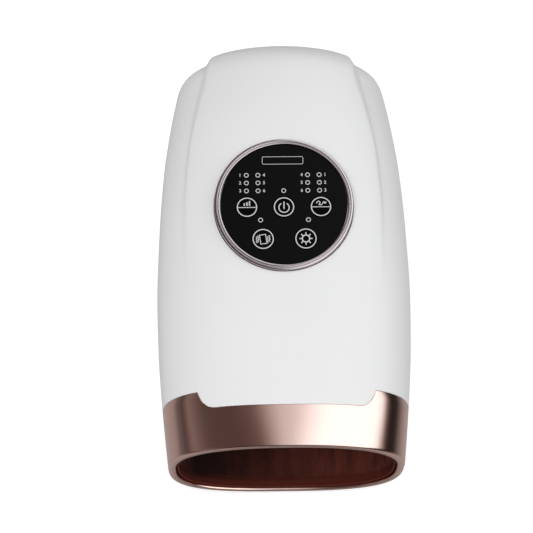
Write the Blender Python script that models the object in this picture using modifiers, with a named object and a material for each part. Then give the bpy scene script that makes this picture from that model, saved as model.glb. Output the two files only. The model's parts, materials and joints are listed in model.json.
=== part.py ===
"""Hand massager with a two-part case, a metallised cuff, a round control panel and an air-bag chamber.

The hand goes in at the cuff, at -Y, and the fingers point along +Y. X runs across the case and Z is up.
The origin lies on the table, under the middle of the case.
"""
import math

import bmesh
import bpy
import numpy as np
from mathutils import Matrix, Vector

# Overall case
BODY_LENGTH = 0.2490
HALF_WIDTH = 0.0716
CROWN_HEIGHT = 0.0980
PARTING_OVER_BOARD = 0.0142
SKIN_BASE = 0.0030
TIP_LIFT = 0.0050
SHELL_WALL = 0.0026
FIT_GAP = 0.0003
WELD = 0.00001
CUT_OVERRUN = 0.0060
CUT_DEPTH = 0.0300
NOSE_DEPTH = 0.0240
NOSE_SETBACK = 0.0017
NOSE_POWER = 2.6
BELLY_POWER = 3.0
BODY_ROWS = 11
NOSE_ROWS = 7
SIDE_TURN_SHARES = (0, 0.08, 0.28, 0.52, 0.76, 1)
CROWN_COLUMNS = 8
BELLY_COLUMNS = 16

# Shares of the half width, heights and powers, at shares of the length from the cuff rim
WIDTH_SHARES = ((0, 0.916), (0.07, 0.940), (0.15, 0.964), (0.27, 0.990), (0.40, 1), (0.55, 0.984),
                (0.70, 0.949), (0.80, 0.904), (0.88, 0.856), (0.94, 0.810), (1, 0.760))
TOP_SHARES = ((0, 0.969), (0.15, 0.985), (0.35, 1), (0.55, 0.996), (0.70, 0.974), (0.80, 0.943),
              (0.90, 0.887), (1, 0.814))
PARTING_SHARES = ((0, 1), (0.30, 0.980), (0.60, 0.941), (0.85, 0.863), (1, 0.804))
LIFT_SHARES = ((0, 0), (0.80, 0), (0.92, 0.40), (1, 1))
POWER_SHARES = ((0, 2.35), (0.14, 2.80), (0.40, 3), (0.70, 2.90), (1, 2.70))

# Raised band along the crown, between two soft creases
CROWN_RISE = 0.0048
CREASE_WIDTH = 0.0036
CROWN_FADE_START = 0.0030
CROWN_FADE = 0.0260
CREASE_SHARES = ((0, 0.750), (0.35, 0.760), (0.47, 0.772), (0.58, 0.785), (0.71, 0.774), (0.75, 0.764),
                 (0.80, 0.748), (0.90, 0.710), (1, 0.700))
CREASE_GROWTH_SHARES = ((0, 1), (0.70, 1), (0.90, 2.1), (1, 2.1))
CROWN_DOME_SHARE = 0.50
CROWN_DOME_POWER = 1.5
RISE_SHARES = ((0, 0), (0.33, 0), (0.50, 0.14), (0.70, 0.46), (0.86, 0.73), (0.95, 0.81), (1, 0.81))

# Cuff band round the opening, with the tongue of the top shell let into it
CUFF_LENGTH = 0.0316
BORDER_LEAN_SHARE = 0.044
RIM_LEAN = 0.0037
LEAN_END_SHARE = 0.40
CUFF_WALL = 0.0024
RIM_WALL = 0.0044
RIM_DEPTH = 0.0060
RIM_ROUND = 0.0018
RIM_INNER_ROUND = 0.0010
RIM_ROUND_STEPS = 3
RIM_STEP = 0.0010
RING_COLUMNS = 44
TONGUE_REACH = 0.0101
TONGUE_CORNER_REACH = 0.0100
TONGUE_FRONT_HALF = 0.0392
TONGUE_BEND_HALF = 0.0455
TONGUE_SIDE_HALF = 0.0486
TONGUE_CORNER_STEPS = 6

# Collar inside the cuff and the fabric lining that it holds
COLLAR_WALL = 0.0013
COLLAR_FRONT = 0.0073
COLLAR_LENGTH = 0.0215
LINING_WALL = 0.0015
LINING_FRONT = 0.0014
FUNNEL_FRONT = 0.0076
FUNNEL_LENGTH = 0.0320
CHAMBER_MARGIN = 0.0020
CHAMBER_POWER = 4.0
CHAMBER_TIP_PAST_BAG = 0.0030
CHAMBER_TIP_ROUND = 0.0160
LINING_COLUMNS = 40
FUNNEL_ROW_SHARES = (0, 0.14, 0.28, 0.44, 0.60, 0.78, 1)
TIP_TURN_SHARES = (0.35, 0.62, 0.82, 0.95)
FOLD_DEPTH = 0.0009
FOLD_COUNT = 8

# Air bags, heating pad and the two frames
BAG_MARGIN = 0.0045
BAG_FROM_RIM = 0.0429
BAG_FROM_NOSE = 0.0585
LOWER_BAG_THICK = 0.0077
UPPER_BAG_THICK = 0.0079
BAG_ROUND = 0.0030
PAD_THICK = 0.0007
PAD_SIDE_MARGIN = 0.0055
PAD_FRONT_MARGIN = 0.0056
PAD_BACK_MARGIN = 0.0160
FRAME_WIDTH_SHARE = 0.6983
LOWER_FRAME_RAISE = 0.0154
UPPER_FRAME_DROP = 0.0102
FRAME_THICK = 0.0020
FRAME_RIB = 0.0015
FRAME_LIP = 0.0016
WINDOW_WIDTH_SHARE = 0.64
WINDOW_LENGTH_SHARE = 0.28
WINDOW_PITCH_SHARE = 0.36
FRAME_CORNER = 0.0080
POST_RADIUS = 0.0032
POST_IN = 0.0070
POST_FRONT_IN = 0.0161
POST_BACK_IN = 0.0185
NOZZLE_RADIUS = 0.0022
NOZZLE_LENGTH = 0.0040

# Control panel
PANEL_LENGTH_SHARE = 0.563454
PANEL_PROUD = 0.0024
BEZEL_SHARE = 0.5405
BEZEL_BAND = 0.0031
BEZEL_ROUND = 0.0009
BEZEL_GROOVE = 0.0004
LEDGE_SHARE = 0.8527
LEDGE_THICK = 0.0015
SKIRT_WALL = 0.0021
SKIRT_DEPTH = 0.0101
BEZEL_FLANGE = 0.0022
BEZEL_FLANGE_THICK = 0.0014
LENS_DROP = 0.0006
LENS_THICK = 0.0018
PANEL_STEPS = 40
BOARD_THICK = 0.0016

# Keys under the lens: places from the panel's centre, as shares of its radius
KEY_COLUMN_SHARE = 0.530
KEY_LOW_COLUMN_SHARE = 0.305
KEY_ROW_SHARE = -0.0465
KEY_LOW_ROW_SHARE = -0.530
KEY_RADIUS_SHARE = 0.1576
KEY_GAP = 0.0003
KEY_PROUD = 0.0002
KEY_FLANGE_SHARE = 0.2131
KEY_FLANGE_THICK = 0.0012
KEY_STEM_RADIUS = 0.0015
KEY_TRAVEL = 0.0005
KEY_TOP_ROUND = 0.0004
KEY_STEPS = 16
SWITCH_SIDE = 0.0062
SWITCH_HEIGHT = 0.0032
ACTUATOR_RADIUS = 0.0017
ACTUATOR_HEIGHT = 0.0005

# Light guide under the lens: one pin for each lamp window, placed in shares of the panel's radius
LAMP_OUTER_SHARE = 0.5245
LAMP_INNER_SHARE = 0.3566
LAMP_TOP_SHARE = 0.4445
LAMP_PITCH_SHARE = 0.1202
LAMP_SIDE_X_SHARE = 0.3437
LAMP_SIDE_Y_SHARE = -0.2429
GUIDE_PIN_RADIUS = 0.0011
GUIDE_THICK = 0.0012
GUIDE_CLEAR = 0.0008
GUIDE_LIFT = 0.0042
GUIDE_LEG_RADIUS = 0.0016
GUIDE_LEG_IN = 0.0037
GUIDE_LEG_SHARE = 0.155
GUIDE_HOLE_CLEAR = 0.0006

# Screws, their bosses and the feet
SCREW_PAST_FRAME = 0.0060
SCREW_FROM_RIM = 0.0485
SCREW_MIDDLE_SHARE = 0.6004
SCREW_BACK_SHARE = 0.6285
SCREW_FROM_NOSE = 0.0305
BOSS_RADIUS = 0.0048
BOSS_SPLIT = 0.0300
SCREW_SEAT = 0.0200
SCREW_HEAD_RADIUS = 0.0030
SCREW_HEAD_HEIGHT = 0.0022
SCREW_RADIUS = 0.0015
SCREW_GRIP = 0.0110
DRIVE_RADIUS = 0.0014
DRIVE_DEPTH = 0.0011
PILOT_CLEAR = 0.0010
FOOT_SHARE = 0.4749
FOOT_FROM_RIM = 0.0425
FOOT_FROM_NOSE = 0.0605
FOOT_RADIUS = 0.0080
FOOT_SINK = 0.0035
FOOT_ROUND = 0.0008
FOOT_BOSS_WALL = 0.0020
FOOT_ROOF = 0.0022

# Battery, main board and charging socket in the nose
CELL_RADIUS = 0.0092
CELL_SHARE = 0.6983
CELL_FROM_NOSE = 0.0383
CELL_TIP_RADIUS = 0.0028
CELL_TIP_LENGTH = 0.0010
TRAY_FLOOR = 0.0122
TRAY_BASE = 0.0013
TRAY_DEPTH = 0.0090
TRAY_SIDE = 0.0015
RIB_FRONT_FROM_NOSE = 0.0405
RIB_BACK_FROM_NOSE = 0.0265
RIB_IN = 0.0030
RIB_WALL = 0.0018
BOARD_OVER_CELLS = 0.0030
BOARD_SHARE = 0.5517
BOARD_FRONT_FROM_NOSE = 0.0415
BOARD_BACK_FROM_NOSE = 0.0105
BOARD_POST_IN = 0.0030
BOARD_POST_FRONT_FROM_NOSE = 0.0380
BOARD_POST_BACK_FROM_NOSE = 0.0175
BOARD_POST_RADIUS = 0.0022
SOCKET_HALF_WIDTH = 0.0046
SOCKET_HEIGHT = 0.0032
SOCKET_WALL = 0.0004
SOCKET_FRONT_FROM_NOSE = 0.0145
SOCKET_BACK_FROM_NOSE = 0.0023
SOCKET_DEPTH = 0.0060
SOCKET_TONGUE_HALF = 0.0033
SOCKET_TONGUE_THICK = 0.0007

# Pump, valves and hoses above the board
BRACKET_LIFT = 0.0029
BRACKET_THICK = 0.0020
BRACKET_IN = 0.0025
BRACKET_FRONT_FROM_NOSE = 0.0395
BRACKET_BACK_FROM_NOSE = 0.0125
BRACKET_LEG_RADIUS = 0.0022
BRACKET_LEG_IN = 0.0040
PUMP_FROM_NOSE = 0.0255
PUMP_LIFT = 0.0005
MOTOR_STEP = 0.0015
MOTOR_IN = 0.0025
MOTOR_END = -0.0050
MOTOR_ROUND = 0.0012
CHEEK_THICK = 0.0025
CHEEK_DROP = 0.0005
CHEEK_IN = 0.0025
PUMP_CEILING_SHARE = 0.8880
HEAD_SHARE = 0.31822
HEAD_WALL = 0.0022
HEAD_END = 0.0163
HEAD_CAVITY_END = 0.0060
CRANK_CLEAR = 0.0014
CRANK_THROW = 0.0014
CRANK_THICK = 0.0030
CRANK_SHAFT_RADIUS = 0.0016
CRANK_SHAFT_LENGTH = 0.0024
VALVE_IN = 0.0010
VALVE_HALF_DEPTH = 0.0070
VALVE_SHARE = 0.2830
PLUNGER_RADIUS = 0.0020
PLUNGER_SHARE = 0.5155
PLUNGER_PROUD = 0.0015
PLUNGER_STROKE = 0.0010
MANIFOLD_FROM_NOSE = 0.0405
MANIFOLD_DROP = 0.0020
PORT_IN = 0.0045
HOSE_STEPS = 9
HOSE_BEND = 0.0052
HOSE_STRAIGHT = 0.0008

# Vibration motor under the lower frame
SHAKER_BEFORE_PANEL = 0.0358
SHAKER_RADIUS = 0.0060
SHAKER_HALF_LENGTH = 0.0100
SHAKER_CLEAR = 0.0003
SHAKER_CHEEK_X = 0.0055
SHAKER_CHEEK_THICK = 0.0020
SHAKER_BASE_THICK = 0.0015
SHAKER_BASE_HALF_WIDTH = 0.0090
SHAKER_BASE_HALF_DEPTH = 0.0085
WEIGHT_RADIUS = 0.0062
WEIGHT_THICK = 0.0040
WEIGHT_HUB_RADIUS = 0.0022

# Flat cable from the key board to the main board
CABLE_HALF_WIDTH = 0.0060
CABLE_THICK = 0.0006
CABLE_X = -0.0200
CABLE_PAST_PANEL = 0.0142
CABLE_FROM_NOSE = 0.0445
CABLE_BEND = 0.0040
CABLE_LANDING = 0.0070

# Levels and places that follow from the sizes above
RIM_Y = -BODY_LENGTH / 2
NOSE_Y = BODY_LENGTH / 2
CUFF_BACK = RIM_Y + CUFF_LENGTH
NOSE_START = NOSE_Y - NOSE_SETBACK - NOSE_DEPTH
FLOOR = SKIN_BASE + SHELL_WALL
PANEL_Y = RIM_Y + BODY_LENGTH * PANEL_LENGTH_SHARE
PANEL_TOP = CROWN_HEIGHT + PANEL_PROUD
BEZEL_RADIUS = HALF_WIDTH * BEZEL_SHARE
BEZEL_LIP = BEZEL_RADIUS - BEZEL_BAND
LEDGE_RADIUS = BEZEL_RADIUS * LEDGE_SHARE
LENS_TOP = PANEL_TOP - LENS_DROP
LENS_LOW = LENS_TOP - LENS_THICK
LEDGE_TOP = LENS_LOW - FIT_GAP
LENS_RADIUS = BEZEL_LIP - FIT_GAP
SKIRT_LOW = PANEL_TOP - SKIRT_DEPTH
KEY_BOARD_TOP = SKIRT_LOW - FIT_GAP
KEY_BOARD_LOW = KEY_BOARD_TOP - BOARD_THICK
KEY_TOP = LENS_TOP + KEY_PROUD
KEY_FLANGE_TOP = LENS_LOW - FIT_GAP
KEY_RADIUS = BEZEL_RADIUS * KEY_RADIUS_SHARE
SWITCH_LOW = KEY_BOARD_TOP + FIT_GAP
SWITCH_TOP = SWITCH_LOW + SWITCH_HEIGHT
STEM_LOW = SWITCH_TOP + ACTUATOR_HEIGHT + KEY_TRAVEL + FIT_GAP
GUIDE_RADIUS = LEDGE_RADIUS - GUIDE_CLEAR
KEY_FLANGE_RADIUS = KEY_RADIUS * (1 + KEY_FLANGE_SHARE)
GUIDE_HOLE_RADIUS = KEY_FLANGE_RADIUS + GUIDE_HOLE_CLEAR
LOWER_FRAME_LOW = FLOOR + LOWER_FRAME_RAISE
LOWER_FRAME_TOP = LOWER_FRAME_LOW + FRAME_THICK
LOWER_BAG_LOW = LOWER_FRAME_TOP + FIT_GAP
PAD_LOW = LOWER_BAG_LOW + LOWER_BAG_THICK + FIT_GAP
CHAMBER_LOW = PAD_LOW + PAD_THICK + FIT_GAP
UPPER_FRAME_TOP = KEY_BOARD_LOW - UPPER_FRAME_DROP
UPPER_FRAME_LOW = UPPER_FRAME_TOP - FRAME_THICK
UPPER_BAG_LOW = UPPER_FRAME_LOW - FIT_GAP - UPPER_BAG_THICK
CHAMBER_HIGH = UPPER_BAG_LOW - FIT_GAP
CHAMBER_MIDDLE = (CHAMBER_LOW + CHAMBER_HIGH) / 2
CHAMBER_HALF_HEIGHT = (CHAMBER_HIGH - CHAMBER_LOW) / 2
FRAME_HALF_WIDTH = HALF_WIDTH * FRAME_WIDTH_SHARE
BAG_HALF_WIDTH = FRAME_HALF_WIDTH - BAG_MARGIN
PAD_HALF_WIDTH = BAG_HALF_WIDTH - PAD_SIDE_MARGIN
CHAMBER_HALF_WIDTH = FRAME_HALF_WIDTH - CHAMBER_MARGIN
POST_X = FRAME_HALF_WIDTH - POST_IN
BAG_FRONT = RIM_Y + BAG_FROM_RIM
BAG_BACK = NOSE_Y - BAG_FROM_NOSE
PAD_FRONT = BAG_FRONT + PAD_FRONT_MARGIN
PAD_BACK = BAG_BACK - PAD_BACK_MARGIN
FRAME_FRONT = BAG_FRONT - BAG_MARGIN
FRAME_BACK = BAG_BACK + BAG_MARGIN
CHAMBER_TIP = BAG_BACK + CHAMBER_TIP_PAST_BAG
FOOT_TOP = SKIN_BASE + FOOT_SINK
CELL_LENGTH = HALF_WIDTH * CELL_SHARE
CELL_FRONT_Y = NOSE_Y - CELL_FROM_NOSE
CELL_BACK_Y = CELL_FRONT_Y + 2 * CELL_RADIUS + FIT_GAP
CELL_HEIGHT = TRAY_FLOOR + TRAY_BASE + FIT_GAP + CELL_RADIUS
TRAY_TOP = TRAY_FLOOR + TRAY_DEPTH
BOARD_BASE = CELL_HEIGHT + CELL_RADIUS + BOARD_OVER_CELLS
BOARD_TOP = BOARD_BASE + BOARD_THICK
PARTING_HEIGHT = BOARD_TOP + PARTING_OVER_BOARD
BOARD_HALF_WIDTH = HALF_WIDTH * BOARD_SHARE
BOARD_POST_X = BOARD_HALF_WIDTH - BOARD_POST_IN
BOARD_FRONT = NOSE_Y - BOARD_FRONT_FROM_NOSE
BOARD_BACK = NOSE_Y - BOARD_BACK_FROM_NOSE
SOCKET_FRONT = NOSE_Y - SOCKET_FRONT_FROM_NOSE
SOCKET_BACK = NOSE_Y - SOCKET_BACK_FROM_NOSE
BRACKET_BASE = BOARD_TOP + FIT_GAP + BRACKET_LIFT
BRACKET_TOP = BRACKET_BASE + BRACKET_THICK
BRACKET_HALF_WIDTH = BOARD_HALF_WIDTH - BRACKET_IN
BRACKET_FRONT = NOSE_Y - BRACKET_FRONT_FROM_NOSE
BRACKET_BACK = NOSE_Y - BRACKET_BACK_FROM_NOSE
PUMP_Y = NOSE_Y - PUMP_FROM_NOSE
PUMP_SPACE = CROWN_HEIGHT * PUMP_CEILING_SHARE - SHELL_WALL - BRACKET_TOP
HEAD_RADIUS = PUMP_SPACE * HEAD_SHARE
MOTOR_RADIUS = HEAD_RADIUS - MOTOR_STEP
CRANK_RADIUS = HEAD_RADIUS - HEAD_WALL - CRANK_THROW - CRANK_CLEAR
PUMP_HEIGHT = BRACKET_TOP + PUMP_LIFT + HEAD_RADIUS
MOTOR_START = MOTOR_IN - BRACKET_HALF_WIDTH
VALVE_LOW = BRACKET_TOP + FIT_GAP
VALVE_SIDE = PUMP_SPACE * VALVE_SHARE
VALVE_START = HEAD_END + FIT_GAP
VALVE_END = BRACKET_HALF_WIDTH - VALVE_IN
PLUNGER_LENGTH = (VALVE_END - VALVE_START) * PLUNGER_SHARE
NOZZLE_X = (VALVE_START + VALVE_END) / 2
MANIFOLD_FRONT = NOSE_Y - MANIFOLD_FROM_NOSE
MANIFOLD_HEIGHT = 2 * VALVE_SIDE - MANIFOLD_DROP
SHAKER_Y = PANEL_Y - SHAKER_BEFORE_PANEL
SHAKER_BASE = FLOOR + FIT_GAP
SHAKER_HEIGHT = SHAKER_BASE + SHAKER_BASE_THICK + SHAKER_CLEAR + SHAKER_RADIUS
CABLE_FRONT = PANEL_Y + CABLE_PAST_PANEL
CABLE_BACK = NOSE_Y - CABLE_FROM_NOSE
KEY_PLACE_SHARES = {
    "key_power": (0, KEY_ROW_SHARE),
    "key_intensity": (-KEY_COLUMN_SHARE, KEY_ROW_SHARE),
    "key_mode": (KEY_COLUMN_SHARE, KEY_ROW_SHARE),
    "key_vibration": (-KEY_LOW_COLUMN_SHARE, KEY_LOW_ROW_SHARE),
    "key_heat": (KEY_LOW_COLUMN_SHARE, KEY_LOW_ROW_SHARE),
}
KEY_PLACES = {name: (x * BEZEL_RADIUS, PANEL_Y + y * BEZEL_RADIUS)
              for name, (x, y) in KEY_PLACE_SHARES.items()}
SCREW_STATIONS = (
    (FRAME_HALF_WIDTH + SCREW_PAST_FRAME, RIM_Y + SCREW_FROM_RIM),
    (FRAME_HALF_WIDTH + SCREW_PAST_FRAME, RIM_Y + BODY_LENGTH * SCREW_MIDDLE_SHARE),
    (HALF_WIDTH * SCREW_BACK_SHARE, NOSE_Y - SCREW_FROM_NOSE),
)
SCREW_PLACES = [(side * x, y) for x, y in SCREW_STATIONS for side in (-1, 1)]
FOOT_PLACES = [(side * HALF_WIDTH * FOOT_SHARE, y) for y in (RIM_Y + FOOT_FROM_RIM, NOSE_Y - FOOT_FROM_NOSE)
               for side in (-1, 1)]
POST_PLACES = [(side * POST_X, y) for y in (FRAME_FRONT + POST_FRONT_IN, FRAME_BACK - POST_BACK_IN)
               for side in (-1, 1)]
BOARD_POST_PLACES = [(side * BOARD_POST_X, NOSE_Y - distance) for side in (-1, 1)
                     for distance in (BOARD_POST_FRONT_FROM_NOSE, BOARD_POST_BACK_FROM_NOSE)]

# Finishes: colour, roughness, metallic
FINISHES = {
    "white_shell": ((0.80, 0.80, 0.80), 0.38, 0),
    "rose_metal": ((0.46, 0.25, 0.21), 0.20, 1),
    "pink_chrome": ((0.72, 0.58, 0.57), 0.14, 1),
    "black_gloss": ((0.008, 0.008, 0.010), 0.10, 0),
    "black_key": ((0.004, 0.004, 0.005), 0.16, 0),
    "burgundy_fabric": ((0.085, 0.026, 0.022), 0.62, 0),
    "white_rubber": ((0.62, 0.62, 0.60), 0.70, 0),
    "steel": ((0.55, 0.55, 0.57), 0.32, 1),
    "brass": ((0.62, 0.47, 0.22), 0.35, 1),
    "black_plastic": ((0.02, 0.02, 0.02), 0.50, 0),
    "grey_plastic": ((0.40, 0.40, 0.41), 0.50, 0),
    "clear_plastic": ((0.85, 0.87, 0.88), 0.15, 0),
    "green_board": ((0.02, 0.16, 0.06), 0.45, 0),
    "bag_film": ((0.30, 0.30, 0.33), 0.45, 0),
    "amber_film": ((0.60, 0.30, 0.06), 0.40, 0),
    "cell_wrap": ((0.05, 0.14, 0.42), 0.40, 0),
    "clear_hose": ((0.72, 0.74, 0.74), 0.30, 0),
}


def clear_scene():
    """Take every object out of the file."""
    for old in list(bpy.data.objects):
        bpy.data.objects.remove(old, do_unlink=True)


def new_collection(name):
    """Make a collection in the scene."""
    group = bpy.data.collections.new(name)
    bpy.context.scene.collection.children.link(group)
    return group


def finish_material(finish):
    """The shared material of one finish."""
    found = bpy.data.materials.get(finish)
    if found:
        return found
    colour, roughness, metallic = FINISHES[finish]
    made = bpy.data.materials.new(finish)
    made.use_nodes = True
    shader = made.node_tree.nodes["Principled BSDF"]
    shader.inputs["Base Color"].default_value = (*colour, 1)
    shader.inputs["Roughness"].default_value = roughness
    shader.inputs["Metallic"].default_value = metallic
    return made


def place(name, mesh, finish=None, at=(0, 0, 0)):
    """Put a mesh in the parts with its finish, or among the guides when it has none."""
    made = bpy.data.objects.new(name, mesh)
    made.location = at
    if finish:
        mesh.materials.append(finish_material(finish))
        PARTS.objects.link(made)
        mesh.shade_smooth()
        mesh.set_sharp_from_angle(angle=math.radians(35))
    else:
        GUIDES.objects.link(made)
        made.hide_render = True
        made.display_type = "WIRE"
    return made


def mesh_of(name, shape):
    """Turn a bmesh into a mesh."""
    mesh = bpy.data.meshes.new(name)
    shape.to_mesh(mesh)
    shape.free()
    return mesh


def add_cylinder(shape, radius, start, end, steps=20):
    """Add a closed cylinder between two points to a bmesh."""
    run = Vector(end) - Vector(start)
    turn = run.to_track_quat("Z", "Y").to_matrix().to_4x4()
    middle = Matrix.Translation((Vector(start) + Vector(end)) / 2)
    bmesh.ops.create_cone(shape, cap_ends=True, segments=steps, radius1=radius, radius2=radius,
                          depth=run.length, matrix=middle @ turn)


def add_box(shape, low, high):
    """Add a box between two corners to a bmesh."""
    size = [b - a for a, b in zip(low, high)]
    middle = [(a + b) / 2 for a, b in zip(low, high)]
    bmesh.ops.create_cube(shape, size=1, matrix=Matrix.Translation(middle) @ Matrix.Diagonal((*size, 1)))


def cylinder(name, radius, start, end, finish=None, steps=20):
    """A cylinder between two points."""
    shape = bmesh.new()
    add_cylinder(shape, radius, start, end, steps)
    return place(name, mesh_of(name, shape), finish)


def cylinders(name, radius, places, low, high, steps=12):
    """A guide of several upright cylinders at places in plan."""
    shape = bmesh.new()
    for x, y in places:
        add_cylinder(shape, radius, (x, y, low), (x, y, high), steps)
    return place(name, mesh_of(name, shape))


def box(name, low, high, finish=None):
    """A box between two corners."""
    shape = bmesh.new()
    add_box(shape, low, high)
    return place(name, mesh_of(name, shape), finish)


def boolean(target, tool, operation):
    """Cut or join, with a live modifier."""
    change = target.modifiers.new(operation.lower() + "_" + tool.name, "BOOLEAN")
    change.operation = operation
    change.object = tool
    change.solver = "EXACT"
    return target


def cut(target, tool):
    """Take the tool away from the target."""
    return boolean(target, tool, "DIFFERENCE")


def join(target, tool):
    """Make the tool part of the target."""
    return boolean(target, tool, "UNION")


def set_origin(target, point):
    """Put the object's origin on its joint's axis and leave its shape where it is."""
    target.data.transform(Matrix.Translation(-Vector(point)))
    target.location = point


def round_edges(target, width, steps=2, angle=40):
    """Round the sharp edges."""
    change = target.modifiers.new("round_edges", "BEVEL")
    change.width = width
    change.segments = steps
    change.limit_method = "ANGLE"
    change.angle_limit = math.radians(angle)
    return target


def turned(name, profile, finish, at, steps):
    """Turn a profile of radius and height once round its axis. It runs down its outer side."""
    mesh = bpy.data.meshes.new(name)
    closed = profile[0] == profile[-1]
    points = profile[:-1] if closed else profile
    count = len(points)
    edges = [(i, (i + 1) % count) for i in range(count if closed else count - 1)]
    mesh.from_pydata([(radius, 0, height) for radius, height in points], edges, [])
    made = place(name, mesh, finish, at)
    screw = made.modifiers.new("turn", "SCREW")
    screw.steps = steps
    screw.render_steps = steps
    screw.use_merge_vertices = True
    screw.merge_threshold = WELD
    screw.use_normal_calculate = False
    screw.use_smooth_shade = True
    return made


def flat_outline(name, outline, low, high, finish=None):
    """A flat outline in plan, made as thick as the space from low to high."""
    curve = bpy.data.curves.new(name, "CURVE")
    curve.dimensions = "2D"
    curve.fill_mode = "BOTH"
    curve.extrude = (high - low) / 2
    line = curve.splines.new("POLY")
    line.points.add(len(outline) - 1)
    for point, (x, y) in zip(line.points, outline):
        point.co = (x, y, 0, 1)
    line.use_cyclic_u = True
    guide = bpy.data.objects.new(name + "_outline", curve)
    guide.location = (0, 0, (low + high) / 2)
    GUIDES.objects.link(guide)
    bpy.context.view_layer.update()
    evaluated = guide.evaluated_get(bpy.context.evaluated_depsgraph_get())
    mesh = bpy.data.meshes.new_from_object(evaluated)
    mesh.name = name
    mesh.transform(guide.matrix_world)
    shape = bmesh.new()
    shape.from_mesh(mesh)
    bmesh.ops.remove_doubles(shape, verts=shape.verts, dist=WELD)
    bmesh.ops.recalc_face_normals(shape, faces=shape.faces)
    shape.to_mesh(mesh)
    shape.free()
    bpy.data.objects.remove(guide, do_unlink=True)
    return place(name, mesh, finish)


def smooth(share):
    """Ease from 0 to 1."""
    share = np.clip(share, 0, 1)
    return share * share * (3 - 2 * share)


def follow(share, keys):
    """A smooth curve through keys of place and value that never overshoots them."""
    places, values = np.array(keys, dtype=float).T
    steps = np.diff(places)
    rates = np.diff(values) / steps
    slopes = np.zeros(len(places))
    slopes[0], slopes[-1] = rates[0], rates[-1]
    for i in range(1, len(places) - 1):
        before, after = rates[i - 1], rates[i]
        if before * after > 0:
            near = 2 * steps[i] + steps[i - 1]
            far = steps[i] + 2 * steps[i - 1]
            slopes[i] = (near + far) / (near / before + far / after)
    share = np.clip(share, places[0], places[-1])
    i = np.clip(np.searchsorted(places, share) - 1, 0, len(steps) - 1)
    t = (share - places[i]) / steps[i]
    return (values[i] * (1 + 2 * t) * (1 - t) ** 2 + slopes[i] * steps[i] * t * (1 - t) ** 2
            + values[i + 1] * t * t * (3 - 2 * t) + slopes[i + 1] * steps[i] * t * t * (t - 1))


def along_share(y):
    """How far a station lies from the cuff rim, as a share of the length."""
    return (np.asarray(y, dtype=float) - RIM_Y) / BODY_LENGTH


def half_width(y):
    """Half the width of the case at the parting."""
    return HALF_WIDTH * follow(along_share(y), WIDTH_SHARES)


def parting_height(y):
    """The height of the parting between the two shells."""
    return PARTING_HEIGHT * follow(along_share(y), PARTING_SHARES)


def top_height(y):
    """The height of the top skin on the middle line, without the raised band."""
    return CROWN_HEIGHT * follow(along_share(y), TOP_SHARES)


def base_height(y):
    """The height of the underside on the middle line."""
    return SKIN_BASE + TIP_LIFT * follow(along_share(y), LIFT_SHARES)


def lean(y):
    """How far the section at a station leans back at the crown, for each metre above the underside."""
    return RIM_LEAN / CROWN_HEIGHT * (1 - smooth(along_share(y) / LEAN_END_SHARE))


def signed_power(value, power):
    """Raise the size of a value and keep its sign."""
    return np.sign(value) * np.abs(value) ** power


def half_surface(side, y_front, inset=0.0, parting_gap=0.0, body_rows=BODY_ROWS):
    """Points over the top (side 1) or the bottom (side -1) of the case.

    Each row runs across the case. Rows stand upright along the body, then fan down round the nose to the
    parting, so that every column ends there. The sections are superellipses. The inset draws them in.
    """
    stations = np.append(np.linspace(y_front, NOSE_START, body_rows), [NOSE_START] * NOSE_ROWS)
    fans = np.append(np.zeros(body_rows), np.linspace(0, math.pi / 2, NOSE_ROWS + 1)[1:])
    stations = stations[:, None]
    fans = fans[:, None]
    share = along_share(stations)
    power = follow(share, POWER_SHARES) if side > 0 else np.full_like(share, BELLY_POWER)
    turns = column_turns(share, power) if side > 0 else np.linspace(0, math.pi, BELLY_COLUMNS + 1)[None, :]
    across = signed_power(np.cos(turns), 2 / power)
    fullness = np.abs(np.sin(turns)) ** (2 / power)
    fullness[:, [0, -1]] = 0
    reach = (NOSE_DEPTH - inset) * np.sin(fans) ** (2 / NOSE_POWER) * fullness
    y = stations + reach
    drop = np.cos(fans) ** (2 / NOSE_POWER)
    drop[-1] = 0
    middle = parting_height(y)
    if side > 0:
        tall = top_height(y) - middle - inset
    else:
        tall = middle - base_height(y) - inset
    x = (half_width(y) - inset) * across
    z = middle + side * (parting_gap + (tall - parting_gap) * drop * fullness)
    points = np.stack([x, y + lean(y) * (z - SKIN_BASE), z], axis=-1)
    if side > 0:
        points = raise_crown(points, share, turns, power, middle)
    return points


def crease_turns(share, power):
    """The turns of the outer and inner edge of the crease."""
    middle = follow(share, CREASE_SHARES)
    half = CREASE_WIDTH / HALF_WIDTH / 2 * follow(share, CREASE_GROWTH_SHARES)
    outer = np.arccos(np.clip((middle + half) ** (power / 2), 0, 1))
    inner = np.arccos(np.clip((middle - half) ** (power / 2), 0, 1))
    return outer, inner


def column_turns(share, power):
    """Turns of the top's columns, with a column along each edge of both creases."""
    outer, inner = crease_turns(share, power)
    side = np.array(SIDE_TURN_SHARES)[None, :] * outer
    crown = inner + (math.pi - 2 * inner) * np.linspace(0, 1, CROWN_COLUMNS + 1)[None, :]
    return np.concatenate([side, crown, (math.pi - side)[:, ::-1]], axis=1)


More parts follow.
